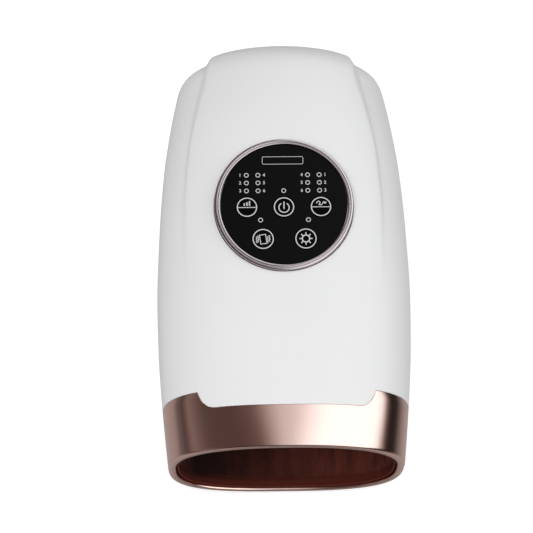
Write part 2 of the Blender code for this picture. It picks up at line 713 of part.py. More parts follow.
def raise_crown(points, share, turns, power, middle):
    """Lift the band between the creases off the skin, more towards the nose and on the middle line."""
    outer, inner = crease_turns(share, power)
    fold = np.minimum(turns, math.pi - turns)
    across = np.abs(np.cos(turns) / np.cos(inner)) ** (2 / power)
    dome = 1 + CROWN_DOME_SHARE * np.maximum(1 - across ** CROWN_DOME_POWER, 0)
    lift = CROWN_RISE * dome * follow(along_share(points[..., 1]), RISE_SHARES)
    lift = lift * smooth((fold - outer) / (inner - outer))
    lift = lift * smooth((points[..., 2] - middle - CROWN_FADE_START) / CROWN_FADE)
    along = np.gradient(points, axis=0)
    normal = np.cross(np.gradient(points, axis=1), along)
    length = np.linalg.norm(normal, axis=-1, keepdims=True)
    normal = np.divide(normal, length, out=np.zeros_like(normal), where=length > 0)
    outward = np.sign(np.sum(normal * (points - [0, 0, PARTING_HEIGHT]), axis=-1, keepdims=True))
    return points + normal * outward * lift[..., None]


def grid_faces(rows, columns, ring=False, tube=False):
    """Four-sided faces over a grid of points. A ring closes each row, and a tube closes the columns."""
    index = np.arange(rows * columns).reshape(rows, columns)
    if ring:
        index = np.concatenate([index, index[:, :1]], axis=1)
    if tube:
        index = np.concatenate([index, index[:1]], axis=0)
    faces = np.stack([index[:-1, :-1], index[:-1, 1:], index[1:, 1:], index[1:, :-1]], axis=-1)
    return faces.reshape(-1, 4).tolist()


def surface_mesh(name, grids, closed):
    """A mesh from grids of points and faces, welded, with its faces pointing out."""
    shape = bmesh.new()
    for points, faces in grids:
        corners = [shape.verts.new(point) for point in points.reshape(-1, 3)]
        for face in faces:
            shape.faces.new([corners[i] for i in face])
    bmesh.ops.remove_doubles(shape, verts=shape.verts, dist=WELD)
    bmesh.ops.dissolve_degenerate(shape, edges=shape.edges, dist=WELD)
    if closed:
        bmesh.ops.holes_fill(shape, edges=shape.edges)
        bmesh.ops.recalc_face_normals(shape, faces=shape.faces)
    shape.normal_update()
    if not closed:
        middle = sum((vert.co for vert in shape.verts), Vector()) / len(shape.verts)
        middle.z = PARTING_HEIGHT
        facing = sum(face.normal.dot(face.calc_center_median() - middle) * face.calc_area()
                     for face in shape.faces)
        if facing < 0:
            bmesh.ops.reverse_faces(shape, faces=shape.faces)
    return mesh_of(name, shape)


def outside_guide(name, side, inset):
    """A thick guide that holds all that lies outside the top or the bottom skin, drawn in by an inset."""
    points = half_surface(side, RIM_Y, inset=inset)
    mesh = surface_mesh(name, [(points, grid_faces(*points.shape[:2]))], False)
    guide = place(name, mesh)
    thicken(guide, CUT_DEPTH, 1)
    return guide


def thicken(target, thickness, offset=-1):
    """Give an open surface its wall, inwards unless the offset is 1."""
    change = target.modifiers.new("wall", "SOLIDIFY")
    change.thickness = thickness
    change.offset = offset
    change.use_even_offset = False
    return target


def section_ring(y, inset, columns=RING_COLUMNS):
    """Points round the whole section of the case at a station, drawn in by an inset."""
    turns = np.linspace(0, 2 * math.pi, columns, endpoint=False)
    share = along_share(y)
    over = np.sin(turns) >= 0
    power = np.where(over, follow(share, POWER_SHARES), BELLY_POWER)
    middle = parting_height(y)
    tall = np.where(over, top_height(y) - middle, middle - base_height(y)) - inset
    x = (half_width(y) - inset) * signed_power(np.cos(turns), 2 / power)
    z = middle + tall * signed_power(np.sin(turns), 2 / power)
    return np.stack([x, y + lean(y) * (z - SKIN_BASE), z], axis=-1)


def swept_ring(name, profile, finish):
    """A closed wall round the case section, from a profile of stations and insets."""
    points = np.array([section_ring(y, inset) for y, inset in profile])
    grid = (points, grid_faces(len(profile), RING_COLUMNS, ring=True, tube=True))
    return place(name, surface_mesh(name, [grid], True), finish)


def arc(centre, radii, first, last, steps):
    """Points of an elliptic arc between two angles in degrees."""
    angles = np.radians(np.linspace(first, last, steps + 1))
    return [(centre[0] + radii[0] * math.cos(a), centre[1] + radii[1] * math.sin(a)) for a in angles]


def tongue_outline(gap):
    """The front edge of the top shell in plan, from left to right, grown by a gap."""
    steps = TONGUE_CORNER_STEPS
    edge = CUFF_BACK - TONGUE_CORNER_REACH - gap
    side, bend, end = np.array([(TONGUE_SIDE_HALF + gap, CUFF_BACK), (TONGUE_BEND_HALF + gap, edge),
                                (TONGUE_FRONT_HALF, edge)])
    t = np.linspace(0, 1, steps + 1)[:, None]
    corner = [tuple(point) for point in side * (1 - t) ** 2 + bend * 2 * t * (1 - t) + end * t * t]
    bow = TONGUE_REACH - TONGUE_CORNER_REACH
    front = []
    for share in np.linspace(-1, 1, steps + 1)[1:-1]:
        reach = TONGUE_CORNER_REACH + gap + bow * (1 - share * share)
        front.append((TONGUE_FRONT_HALF * share, CUFF_BACK - reach))
    left = [(-x, y) for x, y in corner]
    return left + front + corner[::-1]


def rounded_outline(half, front, back, corner, steps=4):
    """A rectangle in plan with round corners."""
    points = []
    for x, y, first in ((half, back, 0), (-half, back, 90), (-half, front, 180), (half, front, 270)):
        inward_x = x - math.copysign(corner, x)
        inward_y = y - corner if y == back else y + corner
        points += arc((inward_x, inward_y), (corner, corner), first, first + 90, steps)
    return points


def leaning_outline(name, outline, low):
    """A guide from an outline in plan, leaning back with the case's sections at the cuff's back edge."""
    guide = flat_outline(name, outline, low, CROWN_HEIGHT + CUT_OVERRUN)
    shear = Matrix.Identity(4)
    slope = float(lean(CUFF_BACK))
    shear[1][2] = slope + BORDER_LEAN_SHARE
    shear[1][3] = -slope * SKIN_BASE - BORDER_LEAN_SHARE * float(parting_height(CUFF_BACK))
    guide.data.transform(shear)
    return guide


def make_guides():
    """Guides that trim what is inside to the skins of the case."""
    middle = SHELL_WALL / 2
    clear = SHELL_WALL + 2 * FIT_GAP
    return {
        "over_top": outside_guide("over_top", 1, middle),
        "under_bottom": outside_guide("under_bottom", -1, middle),
        "clear_bottom": outside_guide("clear_bottom", -1, clear),
    }


def make_top_shell(guides):
    """The white upper shell: its tongue over the cuff, the panel's hole, the screw bosses and frame posts."""
    front = CUFF_BACK - TONGUE_REACH - CUT_OVERRUN / 3
    points = half_surface(1, front, parting_gap=FIT_GAP / 2)
    mesh = surface_mesh("top_shell", [(points, grid_faces(*points.shape[:2]))], False)
    shell = thicken(place("top_shell", mesh, "white_shell"), SHELL_WALL)
    bosses = cylinders("top_bosses", BOSS_RADIUS, SCREW_PLACES, BOSS_SPLIT + FIT_GAP, CROWN_HEIGHT)
    cut(bosses, guides["over_top"])
    posts = cylinders("top_posts", POST_RADIUS, POST_PLACES, UPPER_FRAME_TOP + FIT_GAP, CROWN_HEIGHT, 10)
    cut(posts, guides["over_top"])
    join(shell, bosses)
    join(shell, posts)
    wide = HALF_WIDTH + CUT_OVERRUN
    ends = [(wide, CUFF_BACK), (wide, RIM_Y), (-wide, RIM_Y), (-wide, CUFF_BACK)]
    cut(shell, leaning_outline("cuff_space", tongue_outline(0) + ends, FLOOR))
    cut(shell, cylinder("panel_hole", BEZEL_RADIUS + FIT_GAP, (0, PANEL_Y, SKIRT_LOW),
                        (0, PANEL_Y, PANEL_TOP + CUT_OVERRUN), steps=PANEL_STEPS))
    cut(shell, cylinders("pilot_holes", SCREW_RADIUS + FIT_GAP, SCREW_PLACES, BOSS_SPLIT - CUT_OVERRUN,
                         BOSS_SPLIT + SCREW_GRIP + PILOT_CLEAR, 10))


def make_bottom_shell(guides):
    """The white lower shell: screw bosses, frame and board posts, battery ribs, foot pockets, socket hole."""
    points = half_surface(-1, CUFF_BACK, parting_gap=FIT_GAP / 2)
    mesh = surface_mesh("bottom_shell", [(points, grid_faces(*points.shape[:2]))], False)
    shell = thicken(place("bottom_shell", mesh, "white_shell"), SHELL_WALL)
    raised = [
        cylinders("bottom_bosses", BOSS_RADIUS, SCREW_PLACES, SKIN_BASE, BOSS_SPLIT),
        cylinders("bottom_posts", POST_RADIUS, POST_PLACES, SKIN_BASE, LOWER_FRAME_LOW - FIT_GAP, 10),
        cylinders("board_posts", BOARD_POST_RADIUS, BOARD_POST_PLACES, SKIN_BASE, BOARD_BASE - FIT_GAP, 10),
        cylinders("foot_bosses", FOOT_RADIUS + FIT_GAP + FOOT_BOSS_WALL, FOOT_PLACES, SKIN_BASE,
                  FOOT_TOP + FIT_GAP + FOOT_ROOF),
    ]
    ribs = bmesh.new()
    reach = CELL_LENGTH / 2 - RIB_IN
    for y in (NOSE_Y - RIB_FRONT_FROM_NOSE, NOSE_Y - RIB_BACK_FROM_NOSE):
        add_box(ribs, (-reach, y - RIB_WALL / 2, SKIN_BASE), (reach, y + RIB_WALL / 2, TRAY_FLOOR - FIT_GAP))
    raised.append(place("battery_ribs", mesh_of("battery_ribs", ribs)))
    for part in raised:
        cut(part, guides["under_bottom"])
        join(shell, part)
    cut(shell, cylinders("head_holes", SCREW_HEAD_RADIUS + FIT_GAP, SCREW_PLACES, -CUT_OVERRUN, SCREW_SEAT))
    cut(shell, cylinders("shank_holes", SCREW_RADIUS + FIT_GAP, SCREW_PLACES, SCREW_SEAT - CUT_OVERRUN / 3,
                         BOSS_SPLIT + CUT_OVERRUN, 10))
    cut(shell, cylinders("foot_pockets", FOOT_RADIUS + FIT_GAP, FOOT_PLACES, -CUT_OVERRUN,
                         FOOT_TOP + FIT_GAP))
    socket_top = BOARD_BASE - FIT_GAP
    cut(shell, box("socket_hole", (-SOCKET_HALF_WIDTH - FIT_GAP, SOCKET_FRONT,
                                   socket_top - SOCKET_HEIGHT - FIT_GAP),
                   (SOCKET_HALF_WIDTH + FIT_GAP, NOSE_Y + CUT_OVERRUN, socket_top + FIT_GAP)))


def cuff_border(inset):
    """Stations of the cuff band's back edge round the section. They lie further back over the crown."""
    back = CUFF_BACK - FIT_GAP
    height = section_ring(back, inset)[:, 2] - parting_height(back)
    return back + BORDER_LEAN_SHARE * np.maximum(height, 0)


def make_cuff():
    """The metallised cuff band round the opening, and the collar that clamps the lining inside it."""
    outer = arc((RIM_Y + RIM_ROUND, RIM_ROUND), (RIM_ROUND, RIM_ROUND), 270, 180, RIM_ROUND_STEPS)
    inner = arc((RIM_Y + RIM_INNER_ROUND, RIM_WALL - RIM_INNER_ROUND),
                (RIM_INNER_ROUND, RIM_INNER_ROUND), 180, 90, RIM_ROUND_STEPS)
    profile = [(cuff_border(0), 0), ((CUFF_BACK + RIM_Y) / 2, 0)] + outer + inner
    profile += [(RIM_Y + RIM_DEPTH, RIM_WALL), (RIM_Y + RIM_DEPTH + RIM_STEP, CUFF_WALL)]
    profile.append((cuff_border(CUFF_WALL), CUFF_WALL))
    band = swept_ring("cuff_band", profile, "rose_metal")
    reach = CUFF_BACK + CUT_OVERRUN
    side = TONGUE_SIDE_HALF + FIT_GAP
    tongue = tongue_outline(FIT_GAP) + [(side, reach), (-side, reach)]
    cut(band, leaning_outline("tongue_space", tongue, PARTING_HEIGHT))
    first = RIM_Y + COLLAR_FRONT
    last = first + COLLAR_LENGTH
    outside = SHELL_WALL + FIT_GAP
    inside = outside + COLLAR_WALL
    collar = [(last, outside), (first, outside), (first, inside), (last, inside)]
    swept_ring("inner_collar", collar, "black_plastic")


def lining_ring(share, inset, squeeze=1.0):
    """A ring of the lining, from the funnel (share 0) to the chamber (share 1), squeezed at the tip."""
    y = RIM_Y + FUNNEL_FRONT + FUNNEL_LENGTH * share
    turns = np.linspace(0, 2 * math.pi, LINING_COLUMNS, endpoint=False)
    mouth = section_ring(RIM_Y + FUNNEL_FRONT, RIM_WALL + FIT_GAP + inset, LINING_COLUMNS)
    flat = 2 / CHAMBER_POWER
    wide = (CHAMBER_HALF_WIDTH - inset) * squeeze
    tall = (CHAMBER_HALF_HEIGHT - inset) * squeeze
    chamber = np.stack([wide * signed_power(np.cos(turns), flat), np.full_like(turns, y),
                        CHAMBER_MIDDLE + tall * signed_power(np.sin(turns), flat)], axis=-1)
    ease = smooth(share)
    ring = mouth * (1 - ease) + chamber * ease
    fold = FOLD_DEPTH * math.sin(math.pi * min(share, 1)) * (1 - np.cos(2 * FOLD_COUNT * turns)) / 2
    ring[:, 2] -= np.sign(np.sin(turns)) * fold
    return ring


def make_lining():
    """The fabric sleeve: a straight mouth, a funnel, then a flat chamber that ends past the fingertips."""
    outer, inner = [], []
    for rings, inset in ((outer, 0.0), (inner, LINING_WALL)):
        rings.append(section_ring(RIM_Y + LINING_FRONT, RIM_WALL + FIT_GAP + inset, LINING_COLUMNS))
        for share in FUNNEL_ROW_SHARES:
            rings.append(lining_ring(share, inset))
        start = CHAMBER_TIP - CHAMBER_TIP_ROUND
        ring = lining_ring(1, inset)
        ring[:, 1] = start
        rings.append(ring)
        for turn in TIP_TURN_SHARES:
            ring = lining_ring(1, inset, math.cos(turn * math.pi / 2) ** (1 / 2))
            ring[:, 1] = start + (CHAMBER_TIP_ROUND - inset) * math.sin(turn * math.pi / 2)
            rings.append(ring)
    points = np.array(outer[::-1] + inner)
    grid = (points, grid_faces(len(points), LINING_COLUMNS, ring=True))
    place("hand_lining", surface_mesh("hand_lining", [grid], True), "burgundy_fabric")


def make_bag(name, low, thick):
    """A flat air bag with a nozzle at its back end."""
    bag = flat_outline(name, rounded_outline(BAG_HALF_WIDTH, BAG_FRONT, BAG_BACK, FRAME_CORNER), low,
                       low + thick, "bag_film")
    round_edges(bag, BAG_ROUND, 2, 60)
    middle = low + thick / 2
    nozzle = cylinder(name + "_nozzle", NOZZLE_RADIUS, (NOZZLE_X, BAG_BACK - CUT_OVERRUN / 2, middle),
                      (NOZZLE_X, BAG_BACK + NOZZLE_LENGTH, middle), steps=12)
    join(bag, nozzle)


def make_frame(name, low, facing):
    """A frame that backs one air bag: a plate with two windows and a low lip towards the bag."""
    outline = rounded_outline(FRAME_HALF_WIDTH, FRAME_FRONT, FRAME_BACK, FRAME_CORNER)
    top = low + FRAME_THICK
    lip = FRAME_LIP
    inside = rounded_outline(FRAME_HALF_WIDTH - lip, FRAME_FRONT + lip, FRAME_BACK - lip, FRAME_CORNER - lip)
    if facing > 0:
        frame = flat_outline(name, outline, low, top + FRAME_RIB, "grey_plastic")
        cut(frame, flat_outline(name + "_pocket", inside, top, top + CUT_OVERRUN))
    else:
        frame = flat_outline(name, outline, low - FRAME_RIB, top, "grey_plastic")
        cut(frame, flat_outline(name + "_pocket", inside, low - CUT_OVERRUN, low))
    middle = (FRAME_FRONT + FRAME_BACK) / 2
    length = FRAME_BACK - FRAME_FRONT
    reach = length * WINDOW_LENGTH_SHARE / 2
    for i, side in enumerate((-1, 1)):
        y = middle + side * length * WINDOW_PITCH_SHARE / 2
        window = rounded_outline(FRAME_HALF_WIDTH * WINDOW_WIDTH_SHARE, y - reach, y + reach,
                                 FRAME_CORNER / 2, 3)
        cut(frame, flat_outline(f"{name}_window_{i + 1}", window, low - CUT_OVERRUN, top + CUT_OVERRUN))


def make_chamber():
    """What squeezes and warms the hand: two air bags, a heating pad and the frames behind them."""
    make_bag("lower_airbag", LOWER_BAG_LOW, LOWER_BAG_THICK)
    make_bag("upper_airbag", UPPER_BAG_LOW, UPPER_BAG_THICK)
    flat_outline("heating_pad", rounded_outline(PAD_HALF_WIDTH, PAD_FRONT, PAD_BACK, FRAME_CORNER / 2),
                 PAD_LOW, PAD_LOW + PAD_THICK, "amber_film")
    make_frame("lower_frame", LOWER_FRAME_LOW, 1)
    make_frame("upper_frame", UPPER_FRAME_LOW, -1)


def make_panel():
    """The control panel: a chromed ring, a black lens, its light guide and the board under them."""
    flange = BEZEL_RADIUS + BEZEL_FLANGE
    flange_top = SKIRT_LOW + BEZEL_FLANGE_THICK
    ledge_low = LEDGE_TOP - LEDGE_THICK
    skirt = BEZEL_RADIUS - SKIRT_WALL
    groove = (BEZEL_LIP + BEZEL_RADIUS) / 2
    shoulder = PANEL_TOP - BEZEL_ROUND
    profile = [(BEZEL_RADIUS - BEZEL_ROUND, PANEL_TOP), (BEZEL_RADIUS, shoulder), (BEZEL_RADIUS, flange_top),
               (flange, flange_top), (flange, SKIRT_LOW), (skirt, SKIRT_LOW), (skirt, ledge_low),
               (LEDGE_RADIUS, ledge_low), (LEDGE_RADIUS, LEDGE_TOP), (BEZEL_LIP, LEDGE_TOP),
               (BEZEL_LIP, shoulder), (BEZEL_LIP + BEZEL_GROOVE, PANEL_TOP),
               (groove - BEZEL_GROOVE, PANEL_TOP), (groove, PANEL_TOP - BEZEL_GROOVE),
               (groove + BEZEL_GROOVE, PANEL_TOP)]
    turned("panel_bezel", profile + profile[:1], "pink_chrome", (0, PANEL_Y, 0), PANEL_STEPS)
    lens = cylinder("panel_lens", LENS_RADIUS, (0, PANEL_Y, LENS_LOW), (0, PANEL_Y, LENS_TOP), "black_gloss",
                    PANEL_STEPS)
    cut(lens, cylinders("key_holes", KEY_RADIUS + KEY_GAP, KEY_PLACES.values(), LEDGE_TOP, PANEL_TOP,
                        KEY_STEPS))
    cylinder("key_board", BEZEL_RADIUS, (0, PANEL_Y, KEY_BOARD_LOW), (0, PANEL_Y, KEY_BOARD_TOP),
             "green_board", 32)
    make_light_guide()
    for name, (x, y) in KEY_PLACES.items():
        make_key(name, x, y)


def make_light_guide():
    """The clear plate over the board, with a pin up to each lamp window and three legs."""
    low = KEY_BOARD_TOP + GUIDE_LIFT
    guide = cylinder("light_guide", GUIDE_RADIUS, (0, PANEL_Y, low), (0, PANEL_Y, low + GUIDE_THICK),
                     "clear_plastic", 32)
    cut(guide, cylinders("guide_holes", GUIDE_HOLE_RADIUS, KEY_PLACES.values(), low - GUIDE_THICK,
                         low + 2 * GUIDE_THICK, KEY_STEPS))
    lamps = [(side * x, LAMP_TOP_SHARE - row * LAMP_PITCH_SHARE) for side in (-1, 1)
             for x in (LAMP_OUTER_SHARE, LAMP_INNER_SHARE) for row in range(3)]
    lamps += [(0, LAMP_TOP_SHARE - 2 * LAMP_PITCH_SHARE), (-LAMP_SIDE_X_SHARE, LAMP_SIDE_Y_SHARE),
              (LAMP_SIDE_X_SHARE, LAMP_SIDE_Y_SHARE)]
    lamps = [(x * BEZEL_RADIUS, PANEL_Y + y * BEZEL_RADIUS) for x, y in lamps]
    join(guide, cylinders("guide_pins", GUIDE_PIN_RADIUS, lamps, low + GUIDE_THICK / 2, LENS_LOW - FIT_GAP,
                          6))
    reach = GUIDE_RADIUS - GUIDE_LEG_IN
    side_y = PANEL_Y + BEZEL_RADIUS * GUIDE_LEG_SHARE
    legs = [(-reach, side_y), (reach, side_y), (0, PANEL_Y - reach)]
    join(guide, cylinders("guide_legs", GUIDE_LEG_RADIUS, legs, KEY_BOARD_TOP + FIT_GAP,
                          low + GUIDE_THICK / 2, 6))


def make_key(name, x, y):
    """One key cap with its flange and stem, and the switch under it. The cap travels down its axis."""
    flange = KEY_FLANGE_RADIUS
    flange_low = KEY_FLANGE_TOP - KEY_FLANGE_THICK
    levels = [(0, KEY_TOP), (KEY_RADIUS - KEY_TOP_ROUND, KEY_TOP), (KEY_RADIUS, KEY_TOP - KEY_TOP_ROUND),
              (KEY_RADIUS, KEY_FLANGE_TOP), (flange, KEY_FLANGE_TOP), (flange, flange_low),
              (KEY_STEM_RADIUS, flange_low), (KEY_STEM_RADIUS, STEM_LOW), (0, STEM_LOW)]
    turned(name, [(radius, level - KEY_TOP) for radius, level in levels], "black_key", (x, y, KEY_TOP),
           KEY_STEPS)
    half = SWITCH_SIDE / 2
    switch = box(name.replace("key", "switch"), (x - half, y - half, SWITCH_LOW),
                 (x + half, y + half, SWITCH_TOP), "black_plastic")
    join(switch, cylinder(name + "_actuator", ACTUATOR_RADIUS, (x, y, SWITCH_TOP - ACTUATOR_HEIGHT),
                          (x, y, SWITCH_TOP + ACTUATOR_HEIGHT), steps=12))


def make_fasteners():
    """Six case screws from below and four rubber feet in their pockets."""
    seat = SCREW_SEAT - FIT_GAP
    head = seat - SCREW_HEAD_HEIGHT
    tip = BOSS_SPLIT + SCREW_GRIP
    profile = [(0, tip), (SCREW_RADIUS - FIT_GAP, tip), (SCREW_RADIUS, tip - SCREW_RADIUS),
               (SCREW_RADIUS, seat), (SCREW_HEAD_RADIUS, seat), (SCREW_HEAD_RADIUS, head),
               (DRIVE_RADIUS, head), (0, head + DRIVE_DEPTH)]
    for i, (x, y) in enumerate(SCREW_PLACES):
        turned(f"case_screw_{i + 1}", profile, "steel", (x, y, 0), 10)
    pad = [(0, FOOT_TOP), (FOOT_RADIUS, FOOT_TOP), (FOOT_RADIUS, FOOT_ROUND), (FOOT_RADIUS - FOOT_ROUND, 0),
           (0, 0)]
    for i, (x, y) in enumerate(FOOT_PLACES):
        turned(f"foot_pad_{i + 1}", pad, "white_rubber", (x, y, 0), 14)


def make_battery(guides):
    """Two cells across the nose in a moulded tray on the bottom shell's ribs."""
    half = CELL_LENGTH / 2 + FIT_GAP + TRAY_SIDE
    reach = CELL_RADIUS + FIT_GAP + TRAY_SIDE
    tray = box("battery_tray", (-half, CELL_FRONT_Y - reach, TRAY_FLOOR),
               (half, CELL_BACK_Y + reach, TRAY_TOP), "black_plastic")
    clear = CELL_LENGTH / 2 + FIT_GAP
    for name, y in (("battery_cell_front", CELL_FRONT_Y), ("battery_cell_back", CELL_BACK_Y)):
        middle = (y, CELL_HEIGHT)
        cut(tray, cylinder(name + "_space", CELL_RADIUS + FIT_GAP, (-clear, *middle), (clear, *middle),
                           steps=20))
        body = CELL_LENGTH / 2 - CELL_TIP_LENGTH
        cell = cylinder(name, CELL_RADIUS, (-CELL_LENGTH / 2, *middle), (body, *middle), "cell_wrap", 20)
        join(cell, cylinder(name + "_tip", CELL_TIP_RADIUS, (0, *middle), (CELL_LENGTH / 2, *middle),
                            steps=10))
    cut(tray, guides["clear_bottom"])


def make_board(guides):
    """The main board over the cells, and the charging socket under its back edge."""
    board = box("main_board", (-BOARD_HALF_WIDTH, BOARD_FRONT, BOARD_BASE),
                (BOARD_HALF_WIDTH, BOARD_BACK, BOARD_TOP), "green_board")
    cut(board, guides["clear_bottom"])
    top = BOARD_BASE - FIT_GAP
    low = top - SOCKET_HEIGHT
    socket = box("charging_socket", (-SOCKET_HALF_WIDTH, SOCKET_FRONT, low),
                 (SOCKET_HALF_WIDTH, SOCKET_BACK, top), "steel")
    wall = SOCKET_WALL
    cut(socket, box("socket_mouth", (wall - SOCKET_HALF_WIDTH, SOCKET_BACK - SOCKET_DEPTH, low + wall),
                    (SOCKET_HALF_WIDTH - wall, SOCKET_BACK + CUT_OVERRUN, top - wall)))
    middle = (low + top) / 2
    join(socket, box("socket_tongue", (-SOCKET_TONGUE_HALF, SOCKET_BACK - SOCKET_DEPTH - wall,
                                       middle - SOCKET_TONGUE_THICK / 2),
                     (SOCKET_TONGUE_HALF, SOCKET_BACK - wall, middle + SOCKET_TONGUE_THICK / 2)))


def make_pump():
    """The air pump on its bracket: motor, head and the eccentric crank that turns inside the head."""
    bracket = box("pump_bracket", (-BRACKET_HALF_WIDTH, BRACKET_FRONT, BRACKET_BASE),
                  (BRACKET_HALF_WIDTH, BRACKET_BACK, BRACKET_TOP), "grey_plastic")
    legs = [(side * (BRACKET_HALF_WIDTH - BRACKET_LEG_IN), y) for side in (-1, 1)
            for y in (BRACKET_FRONT + BRACKET_LEG_IN, BRACKET_BACK - BRACKET_LEG_IN)]
    join(bracket, cylinders("bracket_legs", BRACKET_LEG_RADIUS, legs, BOARD_TOP + FIT_GAP,
                            BRACKET_BASE + BRACKET_THICK / 2, 12))
    head_start = MOTOR_END + FIT_GAP
    motor_quarter = (MOTOR_END - MOTOR_START) / 4
    half = HEAD_RADIUS - CHEEK_IN
    high = BRACKET_TOP + HEAD_RADIUS - CHEEK_DROP
    cheeks = bmesh.new()
    for x in (MOTOR_START + motor_quarter, MOTOR_END - motor_quarter, (head_start + HEAD_END) / 2):
        add_box(cheeks, (x - CHEEK_THICK / 2, PUMP_Y - half, BRACKET_BASE + BRACKET_THICK / 2),
                (x + CHEEK_THICK / 2, PUMP_Y + half, high))
    join(bracket, place("bracket_cheeks", mesh_of("bracket_cheeks", cheeks)))
    axis = (PUMP_Y, PUMP_HEIGHT)
    split = (MOTOR_END + head_start) / 2
    cut(bracket, cylinder("motor_space", MOTOR_RADIUS + FIT_GAP, (MOTOR_START, *axis), (split, *axis),
                          steps=20))
    cut(bracket, cylinder("head_space", HEAD_RADIUS + FIT_GAP, (split, *axis), (HEAD_END, *axis), steps=20))
    round_edges(cylinder("pump_motor", MOTOR_RADIUS, (MOTOR_START, *axis), (MOTOR_END, *axis), "steel", 20),
                MOTOR_ROUND, 1, 60)
    head = cylinder("pump_head", HEAD_RADIUS, (head_start, *axis), (HEAD_END, *axis), "black_plastic", 20)
    cut(head, cylinder("head_cavity", HEAD_RADIUS - HEAD_WALL, (MOTOR_END, *axis), (HEAD_CAVITY_END, *axis),
                       steps=20))
    disc_start = head_start + CRANK_SHAFT_LENGTH
    disc_end = disc_start + CRANK_THICK
    low_axis = (PUMP_Y, PUMP_HEIGHT - CRANK_THROW)
    crank = cylinder("pump_crank", CRANK_RADIUS, (disc_start, *low_axis), (disc_end, *low_axis), "brass", 20)
    set_origin(crank, (disc_start, *axis))
    join(crank, cylinder("crank_shaft", CRANK_SHAFT_RADIUS, (head_start, *axis),
                         ((disc_start + disc_end) / 2, *axis), steps=10))


def make_valves():
    """Two solenoid valves beside the pump, each with its plunger, and the manifold that feeds the hoses."""
    for i, name in enumerate(("lower_valve", "upper_valve")):
        low = VALVE_LOW + i * (VALVE_SIDE + FIT_GAP)
        middle = (PUMP_Y, low + VALVE_SIDE / 2)
        body = box(name, (VALVE_START, PUMP_Y - VALVE_HALF_DEPTH, low),
                   (VALVE_END, PUMP_Y + VALVE_HALF_DEPTH, low + VALVE_SIDE), "steel")
        start = VALVE_END + PLUNGER_PROUD - PLUNGER_LENGTH
        cut(body, cylinder(name + "_bore", PLUNGER_RADIUS + FIT_GAP,
                           (start - PLUNGER_STROKE - FIT_GAP, *middle), (VALVE_END + CUT_OVERRUN, *middle)))
        plunger = cylinder(name + "_plunger", PLUNGER_RADIUS, (start, *middle),
                           (start + PLUNGER_LENGTH, *middle), "brass", 12)
        set_origin(plunger, (start, *middle))
    back = PUMP_Y - VALVE_HALF_DEPTH - FIT_GAP
    block = box("air_manifold", (VALVE_START, MANIFOLD_FRONT, VALVE_LOW),
                (VALVE_END, back, VALVE_LOW + MANIFOLD_HEIGHT), "black_plastic")
    ports = {"lower": VALVE_LOW + PORT_IN, "upper": VALVE_LOW + MANIFOLD_HEIGHT - PORT_IN}
    bags = {"lower": LOWER_BAG_LOW + LOWER_BAG_THICK / 2, "upper": UPPER_BAG_LOW + UPPER_BAG_THICK / 2}
    for side, height in ports.items():
        front = MANIFOLD_FRONT - NOZZLE_LENGTH / 2
        join(block, cylinder(side + "_port", NOZZLE_RADIUS, (NOZZLE_X, front, height),
                             (NOZZLE_X, MANIFOLD_FRONT + CUT_OVERRUN / 2, height), steps=12))
        make_hose(side + "_hose", (BAG_BACK + NOZZLE_LENGTH + FIT_GAP, bags[side]),
                  (front - FIT_GAP, height))


def make_hose(name, start, end):
    """A soft hose from a bag's nozzle to its port, on one smooth curve that leaves both ends straight."""
    curve = bpy.data.curves.new(name, "CURVE")
    curve.dimensions = "3D"
    curve.bevel_depth = NOZZLE_RADIUS
    curve.bevel_resolution = 2
    curve.use_fill_caps = True
    near = start[0] + HOSE_STRAIGHT
    far = end[0] - HOSE_STRAIGHT
    route = [start]
    for t in np.linspace(0, 1, HOSE_STEPS + 1):
        weights = ((1 - t) ** 3, 3 * t * (1 - t) ** 2, 3 * t * t * (1 - t), t ** 3)
        route.append((np.dot(weights, (near, near + HOSE_BEND, far - HOSE_BEND, far)),
                      np.dot(weights, (start[1], start[1], end[1], end[1]))))
    route.append(end)
    line = curve.splines.new("POLY")
    line.points.add(len(route) - 1)
    for point, (y, z) in zip(line.points, route):
        point.co = (NOZZLE_X, y, z, 1)
    hose = bpy.data.objects.new(name, curve)
    curve.materials.append(finish_material("clear_hose"))
    PARTS.objects.link(hose)


